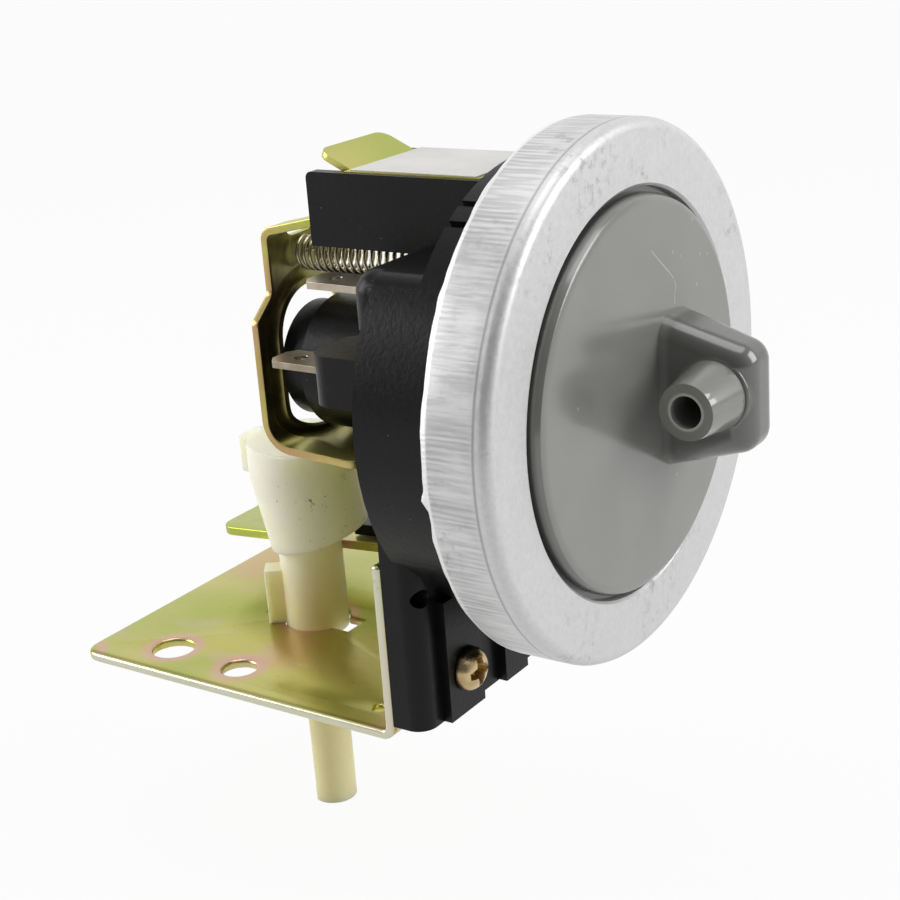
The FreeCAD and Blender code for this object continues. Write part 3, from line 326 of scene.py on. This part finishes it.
def cream_nylon():
    """Cam plastic: cream, waxy, yellowed towards its foot, with dark dirt."""
    skin = Finish("cream_nylon")
    z = skin.split(skin.place)[2]
    cloud = skin.grain(110.0, 3.0)
    fine = skin.grain(1300.0, 4.0)
    low = 1 - z.past(2.0, 18.0)
    base = skin.mix(cloud.ramp(0.3, 0.7), tone(253, 250, 234), tone(250, 244, 214))
    base = skin.mix(low * 0.7, base, tone(232, 222, 164))
    dirt = skin.grain(900.0, 5.0, 0.75).ramp(0.61, 0.68) * skin.grain(160.0, 2.0).ramp(0.47, 0.6)
    dirt = dirt * z.band(10.2, 11.5, 24.5, 26.0)
    base = skin.mix(dirt * 0.85, base, tone(92, 88, 72))
    return skin.surface(base_color=base, roughness=0.46 + fine * 0.14, specular_ior_level=0.4,
                        subsurface_weight=0.7, subsurface_radius=(1.0, 0.85, 0.5), subsurface_scale=0.004,
                        normal=skin.relief(fine * 0.6 + cloud * 0.6 + dirt * 0.3, 0.00006))


def plain_metal(name, dark, light, rough, metallic=1.0, scale=900.0):
    """A plain finish between two tones, with a fine grain."""
    skin = Finish(name)
    cloud = skin.grain(scale * 0.2, 3.0)
    fine = skin.grain(scale * 2, 4.0)
    base = skin.mix(cloud.ramp(0.3, 0.7), dark, light)
    return skin.surface(base_color=base, metallic=metallic, roughness=rough + fine * 0.14,
                        normal=skin.relief(fine * 0.6 + cloud * 0.4, 0.00003))


def plain_moulding(name, dark, light, rough):
    return plain_metal(name, dark, light, rough, metallic=0.0)


finishes = {
    "ring_aluminium": rolled_aluminium(),
    "grey_plastic": grey_moulding(),
    "black_plastic": black_moulding(),
    "zinc_steel": yellow_zinc(),
    "cream_plastic": cream_nylon(),
    "screw_brassy": plain_metal("screw_plating", tone(150, 124, 84), tone(206, 184, 142), 0.2),
    "terminal_metal": plain_metal("tinned_brass", tone(142, 130, 112), tone(186, 176, 158), 0.24),
    "spring_steel": plain_metal("spring_wire", tone(168, 158, 128), tone(212, 204, 176), 0.24),
    "pin_steel": plain_metal("pin_steel", tone(130, 130, 128), tone(170, 170, 168), 0.3),
    "label_foil": plain_metal("label_foil", tone(198, 197, 193), tone(210, 209, 206), 0.42, 0.25, 500.0),
    "contact_silver": plain_metal("contact_silver", tone(196, 196, 192), tone(222, 222, 220), 0.25),
    "rubber": plain_moulding("diaphragm_rubber", tone(30, 30, 31), tone(42, 42, 43), 0.6),
    "plunger_plastic": plain_moulding("plunger_moulding", tone(44, 44, 46), tone(60, 60, 62), 0.42),
}
bracket_zinc = yellow_zinc("bracket_zinc", PLATE_HOLES + ((0.0, 0.0, HUB_HOLE + 0.05),
                                                         (-PLATE_HALF, -PLATE_HALF, 2.0)))
# The lever's finish has painted shade on its inner faces and pink side edges.
lever_zinc = yellow_zinc("lever_zinc", inner_shade_pink_edges=True)
slots = {entry["node"]: entry["material_slot"] for entry in frame["record"]["subparts"]}
bodies = {node: body for body, nodes in frame["record"]["behaviour"]["bodies"].items() for node in nodes}


# Making of pieces

def in_scene(name, data):
    """A new object in the scene that shows the data."""
    holder = bpy.data.objects.new(name, data)
    scene.collection.objects.link(holder)
    return holder


def place_piece(name, shape, node, smooth=32.0, rides=True, finish=None):
    """Puts a mesh or bmesh, in metres, on the body of its node, with the node's finish or its own.

    Edges over smooth degrees stay sharp.
    """
    mesh = mesh_of(name, shape) if isinstance(shape, bmesh.types.BMesh) else shape
    piece = in_scene(name, mesh)
    mesh.materials.clear()
    mesh.materials.append(finish or finishes[slots[node]])
    for face in mesh.polygons:
        face.use_smooth = True
    mesh.set_sharp_from_angle(angle=math.radians(smooth))
    if rides:
        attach(piece, bodies[node])
    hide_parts(node)
    return piece


def mesh_of(name, work):
    bmesh.ops.recalc_face_normals(work, faces=work.faces)
    mesh = bpy.data.meshes.new(name)
    work.to_mesh(mesh)
    work.free()
    return mesh


def with_modifiers(name, holder):
    """The mesh that an object shows with its modifiers, which stays when the object goes."""
    bpy.context.view_layer.update()
    made = bpy.data.meshes.new_from_object(holder.evaluated_get(bpy.context.evaluated_depsgraph_get()))
    made.name = name
    bpy.data.objects.remove(holder)
    return made


def softened(name, node, bevel):
    """The node's own shape with its sharp edges broken by a small bevel, in millimetres."""
    work = bmesh.new()
    work.from_mesh(frame["nodes"][node].data)
    bmesh.ops.remove_doubles(work, verts=work.verts, dist=2e-6)
    bmesh.ops.dissolve_limit(work, angle_limit=math.radians(0.6), verts=work.verts, edges=work.edges)
    holder = in_scene(name + "_flat", mesh_of(name + "_flat", work))
    edge = holder.modifiers.new("edge", "BEVEL")
    edge.width = bevel * MM
    edge.segments = 2
    edge.limit_method = "ANGLE"
    edge.angle_limit = math.radians(24)
    edge.use_clamp_overlap = True
    edge.miter_outer = "MITER_ARC"
    piece = place_piece(name, with_modifiers(name, holder), node)
    even = piece.modifiers.new("even", "WEIGHTED_NORMAL")
    even.keep_sharp = True


def circle(steps):
    """The angles of a full turn in equal steps."""
    return [2 * math.pi * step / steps for step in range(steps)]


def skinned(work, sections, around=True, closed=True):
    """Adds the sections' points, in millimetres, and the faces between them.

    around joins the last section to the first, and closed joins each section's end to its start.
    """
    rings = [[work.verts.new(Vector(point) * MM) for point in section] for section in sections]
    for here, there in zip(rings, rings[1:] + rings[:1] if around else rings[1:]):
        for i in range(len(here) if closed else len(here) - 1):
            j = (i + 1) % len(here)
            work.faces.new((here[i], here[j], there[j], there[i]))
    return rings


def turned(profile, steps, wobble):
    """A shell turned about the diaphragm axis from a closed profile of (x, radius) in millimetres.

    wobble moves each profile point, by where it comes in the turn.
    """
    work = bmesh.new()
    sections = []
    for turn in circle(steps):
        moved = [wobble(x, radius, turn) for x, radius in profile]
        sections.append([(x, radius * math.cos(turn), AXIS + radius * math.sin(turn))
                         for x, radius in moved])
    skinned(work, sections)
    bmesh.ops.remove_doubles(work, verts=work.verts, dist=1e-7)
    return work


def arc(centre, radius, start, end, steps):
    """Points of an arc in a profile, angles in degrees."""
    points = []
    for i in range(steps + 1):
        turn = math.radians(start + (end - start) * i / steps)
        points.append((centre[0] + radius * math.cos(turn), centre[1] + radius * math.sin(turn)))
    return points


def tube_along(points, radius):
    """A round wire through points in millimetres, with closed ends."""
    work = bmesh.new()
    path = [Vector(point) for point in points]
    side = Vector((0, 0, 1))
    sections = []
    for i, point in enumerate(path):
        ahead = (path[min(i + 1, len(path) - 1)] - path[max(i - 1, 0)]).normalized()
        side = (side - ahead * side.dot(ahead)).normalized()
        up = ahead.cross(side)
        sections.append([point + (side * math.cos(turn) + up * math.sin(turn)) * radius
                         for turn in circle(10)])
    rings = skinned(work, sections, around=False)
    work.faces.new(rings[0])
    work.faces.new(rings[-1])
    return work


def coil(start, end, height, radius, turns, tight=1.0):
    """Points of a coil along X whose pitch grows by tight from start to end."""
    points = []
    count = int(turns * 26)
    for i in range(count + 1):
        share = i / count
        along = (share + (tight - 1) * share * share / 2) / (1 + (tight - 1) / 2)
        turn = 2 * math.pi * turns * share
        x = start + (end - start) * along
        points.append((x, radius * math.cos(turn), height + radius * math.sin(turn)))
    return points


class Fold:
    """A folded sheet's middle line in the X-Z plane, with rounded bends."""

    BEND_STEPS = 12
    STRAIGHT = 2.0      # a run longer than this is no part of a bend

    def __init__(self, corners, radii):
        self.marks, self.points, self.ways = [0.0], [Vector(corners[0])], []
        here = Vector(corners[0])
        for i in range(1, len(corners)):
            corner = Vector(corners[i])
            way = (corner - here).normalized()
            if i == len(corners) - 1:
                self.run(here, corner)
                break
            after = (Vector(corners[i + 1]) - corner).normalized()
            angle = way.angle(after)
            back = radii[i - 1] * math.tan(angle / 2)
            start = corner - way * back
            self.run(here, start)
            turn = 1 if way.x * after.y - way.y * after.x > 0 else -1
            centre = start + Vector((-way.y, way.x)) * turn * radii[i - 1]
            arm = start - centre
            for k in range(1, self.BEND_STEPS + 1):
                spin = turn * angle * k / self.BEND_STEPS
                point = centre + Vector((arm.x * math.cos(spin) - arm.y * math.sin(spin),
                                         arm.x * math.sin(spin) + arm.y * math.cos(spin)))
                self.run(self.points[-1], point)
            here = self.points[-1]

    def run(self, start, end):
        long = (end - start).length
        if long > 1e-6:
            self.ways.append((end - start) / long)
            self.marks.append(self.marks[-1] + long)
            self.points.append(end)

    def at(self, along, across, out):
        """The place of a point of the flat sheet: along the line, across it in Y, and out of its face."""
        k = min(max(bisect.bisect_right(self.marks, along) - 1, 0), len(self.ways) - 1)
        way = self.ways[k]
        point = self.points[k] + way * (along - self.marks[k])
        share = (along - self.marks[k]) / (self.marks[k + 1] - self.marks[k])
        before = self.ways[max(k - 1, 0)]
        later = self.ways[min(k + 1, len(self.ways) - 1)]
        start, end = (before + way).normalized(), (way + later).normalized()
        lean = (start * (1 - share) + end * share).normalized()
        if self.marks[k + 1] - self.marks[k] > self.STRAIGHT:
            lean = way
        point = point + Vector((lean.y, -lean.x)) * out
        return Vector((point.x, across, point.y))

    def along_at(self, height):
        """How far along the line it first reaches a height."""
        for k, way in enumerate(self.ways):
            low, high = self.points[k].y, self.points[k + 1].y
            if low <= height <= high and high > low:
                return self.marks[k] + (height - low) / (high - low) * (self.marks[k + 1] - self.marks[k])
        raise ValueError(height)


def rounded_outline(corners):
    """A closed outline of (x, y, radius) corners with its corners rounded."""
    steps = 6
    points = []
    count = len(corners)
    for i, (x, y, radius) in enumerate(corners):
        corner = Vector((x, y))
        if radius <= 0:
            points.append((x, y))
            continue
        before = (Vector(corners[i - 1][:2]) - corner).normalized()
        after = (Vector(corners[(i + 1) % count][:2]) - corner).normalized()
        half = before.angle(after) / 2
        back = radius / math.tan(half)
        centre = corner + (before + after).normalized() * (radius / math.sin(half))
        start, end = corner + before * back - centre, corner + after * back - centre
        sweep = math.atan2(start.x * end.y - start.y * end.x, start.dot(end))
        for k in range(steps + 1):
            spin = sweep * k / steps
            points.append((centre.x + start.x * math.cos(spin) - start.y * math.sin(spin),
                           centre.y + start.x * math.sin(spin) + start.y * math.cos(spin)))
    return points


def round_hole(x, y, radius, steps=40):
    return [(x + radius * math.cos(turn), y + radius * math.sin(turn)) for turn in circle(steps)]


def sheet_mesh(outline, holes, thick, bevel, fold=None):
    """A flat sheet with holes and broken edges, folded along a line if one is given."""
    shape = bpy.data.curves.new("sheet", "CURVE")
    shape.dimensions = "2D"
    shape.fill_mode = "BOTH"
    for ring in [outline] + list(holes):
        line = shape.splines.new("POLY")
        line.points.add(len(ring) - 1)
        for point, (x, y) in zip(line.points, ring):
            point.co = (x, y, 0, 1)
        line.use_cyclic_u = True
    shape.extrude = thick / 2 - bevel
    shape.bevel_depth = bevel
    shape.bevel_resolution = 2
    shape.offset = -bevel
    holder = bpy.data.objects.new("sheet", shape)
    flat = bpy.data.meshes.new_from_object(holder)
    bpy.data.objects.remove(holder)
    work = bmesh.new()
    work.from_mesh(flat)
    bmesh.ops.remove_doubles(work, verts=work.verts, dist=1e-4)
    if fold:
        for mark in fold.marks[1:-1]:
            bmesh.ops.bisect_plane(work, geom=work.verts[:] + work.edges[:] + work.faces[:],
                                   plane_co=(mark, 0, 0), plane_no=(1, 0, 0), dist=1e-4)
        for vert in work.verts:
            vert.co = fold.at(*vert.co)
    for vert in work.verts:
        vert.co = vert.co * MM
    return work


def joined(works):
    """Several bmeshes as one."""
    whole = bmesh.new()
    for work in works:
        part = bpy.data.meshes.new("part")
        work.to_mesh(part)
        work.free()
        whole.from_mesh(part)
        bpy.data.meshes.remove(part)
    return whole


# The pieces

def crimp_ring():
    """Pressed ring with a wavy, crimped rear edge."""
    profile = [(49.7, 23.5), (49.7, 29.3)] + arc((48.4, 29.3), 1.3, 0, 90, 10)[1:]
    profile += [(46.0, 30.6), (44.0, 30.6), (42.4, 30.6)] + arc((42.1, 29.8), 0.8, 90, 180, 5)[1:]
    profile += [(41.3, 28.0), (42.3, 28.0), (42.3, 29.6), (48.7, 29.6), (48.7, 23.2), (49.4, 23.2)]

    def wobble(x, radius, turn):
        if x < 42.4 and radius > 28.6:
            spot = Vector((math.cos(turn), math.sin(turn), 0.0))
            x += 0.28 * noise.noise(spot * 5.0) + 0.12 * noise.noise(spot * 17.0)
            nick = math.degrees(turn) - NICK
            x -= 0.55 * max(0.0, 1 - abs(nick) / 2.2) - 0.25 * max(0.0, 1 - abs(nick - 5) / 4.5)
        elif radius > 30.4:
            radius += 0.04 * noise.noise(Vector((math.cos(turn) * 9, math.sin(turn) * 9, x * 0.4)))
        return x, radius

    place_piece("crimp_ring_pressed", turned(profile, 360, wobble), "crimp_ring")


def setting_lever():
    """Folded lever: foot, plate with a flared slot, neck and two arms that end in eyes."""
    face, foot_end, pip, arm_end = 3.0, 16.5, 6.9, 17.4
    foot, root = 28.55, 54.9
    plate, arms, gap = 9.6, 6.3, 2.5
    drop, rise = math.tan(math.radians(3)), math.tan(math.radians(12.5))
    fold = Fold([(foot_end, foot - (foot_end - pip) * drop), (face, foot + (pip - face) * drop),
                 (face, root), (arm_end, root + (arm_end - face) * rise)], (3.5, 1.3))
    shoulder, neck, fork = fold.along_at(44.5), fold.along_at(47.3), fold.along_at(53.6)
    end = fold.marks[-1]
    outline = rounded_outline([
        (0, -plate, 1.5), (shoulder, -plate, 1.2), (neck, -arms, 1.2), (end, -arms, 0), (end, -gap, 0),
        (fork, -gap, 1.2), (fork, gap, 1.2), (end, gap, 0), (end, arms, 0), (neck, arms, 1.2),
        (shoulder, plate, 1.2), (0, plate, 1.5)])
    half = 5.9
    low, high = fold.along_at(28.8) + half, neck - half
    slot = []
    for k in range(49):
        turn = math.pi * (k if k <= 24 else k - 1) / 24
        slot.append(((high if k <= 24 else low) + math.sin(turn) * half, math.cos(turn) * half))
    grown = [grow(point, low, high, 2.3) for point in slot]
    section = [(2.4, 0.5), (2.15, 0.68), (1.85, 0.7), (1.45, 0.52), (0.9, 0.2), (0.4, -0.25), (0.1, -0.7),
               (0.0, -1.1), (0.8, -1.1), (1.0, -0.85), (1.6, -0.55), (2.4, -0.5)]
    collar = bmesh.new()
    skinned(collar, [[fold.at(*grow(point, low, high, out), -lift) for out, lift in section]
                     for point in slot])
    sheet = sheet_mesh(outline, [grown], 1.0, 0.12, fold)
    works = [sheet, collar, eye_ring(-4.4), eye_ring(4.4), foot_dimple(pip)]
    place_piece("setting_lever_folded", joined(works), "setting_lever", 40, finish=lever_zinc)


def grow(point, low, high, out):
    """A point on the slot's edge moved outwards from the slot."""
    along, across = point
    middle = min(max(along, low), high)
    away = Vector((along - middle, across))
    away = away.normalized() * (away.length + out)
    return middle + away.x, away.y


def eye_ring(across):
    """The rolled eye at the end of one arm."""
    section = ((1.1, -1.9), (1.75, -1.9), (1.9, -1.75), (1.9, 1.75), (1.75, 1.9), (1.1, 1.9))
    work = bmesh.new()
    skinned(work, [[(EYE_X + radius * math.cos(turn), across + side, EYE_Z + radius * math.sin(turn))
                    for radius, side in section] for turn in circle(40)])
    return work


def nipple_ring():
    """The thin raised ring round the foot of the hose nipple."""
    section = ((3.7, 3.5), (4.4, 3.5), (4.5, 3.2), (4.4, 3.0), (4.2, 2.95), (3.7, 3.1))
    work = bmesh.new()
    skinned(work, [[(NIPPLE_X + radius * math.cos(turn), y, AXIS + radius * math.sin(turn))
                    for radius, y in section] for turn in circle(72)])
    place_piece("nipple_ring", work, "pressure_cap", 50)


def foot_dimple(x):
    """The pressed pip under the foot that rides on the cam."""
    radius, height, flat = 1.4, 27.75, 0.6
    work = bmesh.new()
    bmesh.ops.create_uvsphere(work, u_segments=32, v_segments=16, radius=radius)
    for vert in work.verts:
        vert.co = Vector((x + vert.co.x, vert.co.y, height + max(min(vert.co.z, flat), -radius))) * MM
    return work


def mounting_bracket():
    """Folded bracket: base plate with holes, upright web, and the upper arm on the far side."""
    left, web, middle, bend = -PLATE_HALF, 27.7, PLATE_THICK / 2, (1.2,)
    inner, slope = 4.4, math.tan(math.radians(4.2))
    fold = Fold([(left, middle), (web, middle), (web, 22.0)], bend)
    end, step = fold.marks[-1], fold.along_at(10.5)
    outline = rounded_outline([
        (0, -PLATE_HALF, 2.5), (end, -PLATE_HALF, 0.4), (end, inner, 0.4), (step, inner, 0.3),
        (step, PLATE_HALF, 0.3), (0, PLATE_HALF, 2.5)])
    holes = [round_hole(x - left, y, radius) for x, y, radius in PLATE_HOLES]
    holes += [[(x - left, y) for x, y in keyhole()], round_hole(45, -17.5, 0.8, 20)]
    base = sheet_mesh(outline, holes, PLATE_THICK, 0.38, fold)
    arm_left, arm_top, arm_side = -20.2, 12.15, 20
    rise = Fold([(web, 9.0), (web, arm_top), (arm_left, arm_top - (web - arm_left) * slope)], bend)
    long = rise.marks[-1]
    outline = rounded_outline([(0, inner, 0), (long, inner, 2.5), (long, arm_side, 2.5), (0, arm_side, 0)])
    arm = sheet_mesh(outline, [], PLATE_THICK, 0.14, rise)
    place_piece("bracket_folded", joined([base, arm]), "mounting_bracket", 40, finish=bracket_zinc)


def keyhole():
    """Round hole for the hub with a slot each side for a key rib."""
    slot = 1.8
    start = math.degrees(math.asin(slot / HUB_HOLE))
    points = []
    for side, reach in ((1, 6.4), (-1, 7.2)):
        points += [(side * reach, -side * slot), (side * reach, side * slot)]
        points += [(side * x, side * y) for x, y in arc((0, 0), HUB_HOLE, start, 180 - start, 16)]
    return points


def springs():
    """The range spring between the lever and the drum, and the return spring in the tube."""
    height, wire = 51.2, 0.25
    hook = [(3.2, 0.0, height), (3.7, 1.0, height)]
    work = tube_along(hook + coil(4.0, 36.4, height, 2.0, 29, 1.35), wire)
    outer = place_piece("range_spring_wire", work, "range_spring", 60, rides=False)
    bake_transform(outer)
    work = tube_along(coil(8.6, 28.8, AXIS, 4.8, 9), 0.35)
    inner = place_piece("return_spring_wire", work, "return_spring", 60, rides=False)
    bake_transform(inner)


def pan_screw(name, node, across):
    """Pan-head screw through the leg, with a tapered cross recess."""
    seat = 33.9
    profile = [(25.8, 0.0), (25.8, 1.2), (26.2, 1.5), (seat, 1.5), (seat, 2.5), (34.05, 2.65), (34.5, 2.62)]
    profile += arc((34.1, 0.95), 1.7, 65, 0, 7) + [(35.8, 0.0)]
    work = bmesh.new()
    skinned(work, [[(x, across + radius * math.cos(turn), SCREW_Z + radius * math.sin(turn))
                    for x, radius in profile] for turn in circle(56)], closed=False)
    bmesh.ops.remove_doubles(work, verts=work.verts, dist=1e-7)
    cutter = bmesh.new()
    ends = skinned(cutter, [cross_section(x, across, long, wide)
                            for x, long, wide in ((34.5, 1.25, 0.26), (36.2, 2.2, 0.5))], around=False)
    for end in ends:
        cutter.faces.new(end)
    place_piece(name, carved(name, work, cutter), node, smooth=30)


def cross_section(x, across, long, wide):
    """A cross with filled corners at one depth of the screw's recess, slightly turned."""
    points = []
    for k in range(4):
        spin = math.radians(90 * k + 4)
        for a, b in ((long, -wide), (long, wide), (wide * 1.5, wide * 1.5)):
            points.append((x, across + (a * math.cos(spin) - b * math.sin(spin)),
                           SCREW_Z + (a * math.sin(spin) + b * math.cos(spin))))
    return points


def carved(name, work, cutter):
    """The first bmesh with the second cut out of it, as a mesh."""
    body, tool = [in_scene(name, mesh_of(name, part)) for part in (work, cutter)]
    step = body.modifiers.new("cut", "BOOLEAN")
    step.operation, step.solver, step.object = "DIFFERENCE", "EXACT", tool
    made = with_modifiers(name, body)
    bpy.data.objects.remove(tool)
    return made


def room():
    """Pale floor and backdrop in one sweep."""
    half, level, bend, top = 1600, -26, 200, 900
    line = [(-600, level)] + arc((500, level + bend), bend, -90, 0, 12) + [(500 + bend, top)]
    back = Vector((-math.sin(PHOTO_TURN), math.cos(PHOTO_TURN), 0))
    side = Vector((math.cos(PHOTO_TURN), math.sin(PHOTO_TURN), 0))
    work = bmesh.new()
    skinned(work, [[back * along + side * across + Vector((0, 0, up)) for across in (-half, half)]
                   for along, up in line], around=False, closed=False)
    floor = in_scene("floor_sweep", mesh_of("floor_sweep", work))
    for face in floor.data.polygons:
        face.use_smooth = True
    floor.data.materials.append(floor_paint())


def floor_paint():
    """White paper that reads as white behind the part and in its reflections."""
    skin = Finish("floor_paper")
    skin.surface(base_color=tone(206, 206, 206), roughness=0.9)
    seen = [skin.node("ShaderNodeLightPath", output=kind) for kind in ("Is Camera Ray", "Is Glossy Ray")]
    glow = skin.node("ShaderNodeEmission", {}, {"Strength": 1.0})
    paper = Value(skin, skin.shader.outputs[0])
    shown = skin.node("ShaderNodeMixShader", {}, ((seen[0] + seen[1]) * PAPER_GLOW, paper, glow))
    skin.put(skin.tree.nodes["Material Output"].inputs[0], shown)
    return skin.material


def lamp(name, place, target, size, power):
    light = bpy.data.lights.new(name, "AREA")
    light.shape = "RECTANGLE"
    light.size, light.size_y = size
    light.energy = power
    holder = in_scene(name, light)
    holder.location = place
    holder.rotation_euler = (Vector(target) - Vector(place)).to_track_quat("-Z", "Y").to_euler()


def studio():
    """Three soft lamps, and a world that is darker behind the camera."""
    centre = (0.024, 0.0, 0.03)
    lamp("top_box", (0.02, 0.04, 0.62), centre, (0.5, 0.4), 1.5)
    lamp("left_box", (-0.50, -0.28, 0.24), centre, (0.4, 0.4), 2.6)
    lamp("right_box", (0.52, 0.22, 0.30), centre, (0.35, 0.4), 2.2)
    world = bpy.data.worlds.new("studio")
    world.use_nodes = True
    sky = Nodes(world.node_tree)
    ahead = sky.split(sky.node("ShaderNodeTexCoord", output="Generated"))[1]
    light = sky.node("ShaderNodeMapRange", {"interpolation_type": "SMOOTHSTEP"},
                     {"Value": ahead, "From Min": -0.8, "From Max": 0.1, "To Min": 0.14, "To Max": 0.6})
    camera_ray = sky.node("ShaderNodeLightPath", output="Is Camera Ray")
    strength = sky.node("ShaderNodeMix", {}, {0: camera_ray, 2: light, 3: PAPER_GLOW})
    backing = sky.tree.nodes["Background"]
    sky.put(backing.inputs["Color"], (1, 1, 1, 1))
    sky.put(backing.inputs["Strength"], strength)
    scene.world = world


def camera():
    """The photograph's viewpoint."""
    lift, roll = math.radians(19.227), math.radians(-4.255)
    east, north = math.sin(PHOTO_TURN), -math.cos(PHOTO_TURN)
    right = Vector((-north, east, 0))
    back = Vector((east * math.cos(lift), north * math.cos(lift), math.sin(lift)))
    up = back.cross(right)
    across = right * math.cos(roll) + up * math.sin(roll)
    upward = up * math.cos(roll) - right * math.sin(roll)
    focal, width, film = 1773.735, 900, 36.0
    eye = bpy.data.cameras.new("photo_camera")
    eye.sensor_width = film
    eye.lens = focal / width * film
    eye.clip_start, eye.clip_end = 0.01, 10
    turned_to = Matrix((across, upward, back)).transposed().to_4x4()
    scene.camera = in_scene("photo_camera", eye)
    scene.camera.matrix_world = Matrix.Translation(Vector((0.14113, -0.16538, 0.09877))) @ turned_to


for node, piece in frame["nodes"].items():
    piece.data.materials.clear()
    piece.data.materials.append(finishes[slots[node]])

camera()
crimp_ring()
setting_lever()
mounting_bracket()
springs()
softened("cap_moulding", "pressure_cap", 0.25)
nipple_ring()
softened("housing_moulding", "main_housing", 0.3)
softened("cam_moulding", "selector_cam", 0.3)
softened("cover_pressed", "top_cover", 0.12)
softened("label_plate", "cover_label", 0.04)
pan_screw("screw_near", "bracket_screw_near", -SCREW_Y)
pan_screw("screw_far", "bracket_screw_far", SCREW_Y)
softened("blade_lower", "terminal_contact", 0.1)
softened("blade_upper", "terminal_common", 0.1)
softened("plug_slotted", "calibration_plug", 0.15)
room()
studio()
scene.view_settings.view_transform = "Standard"
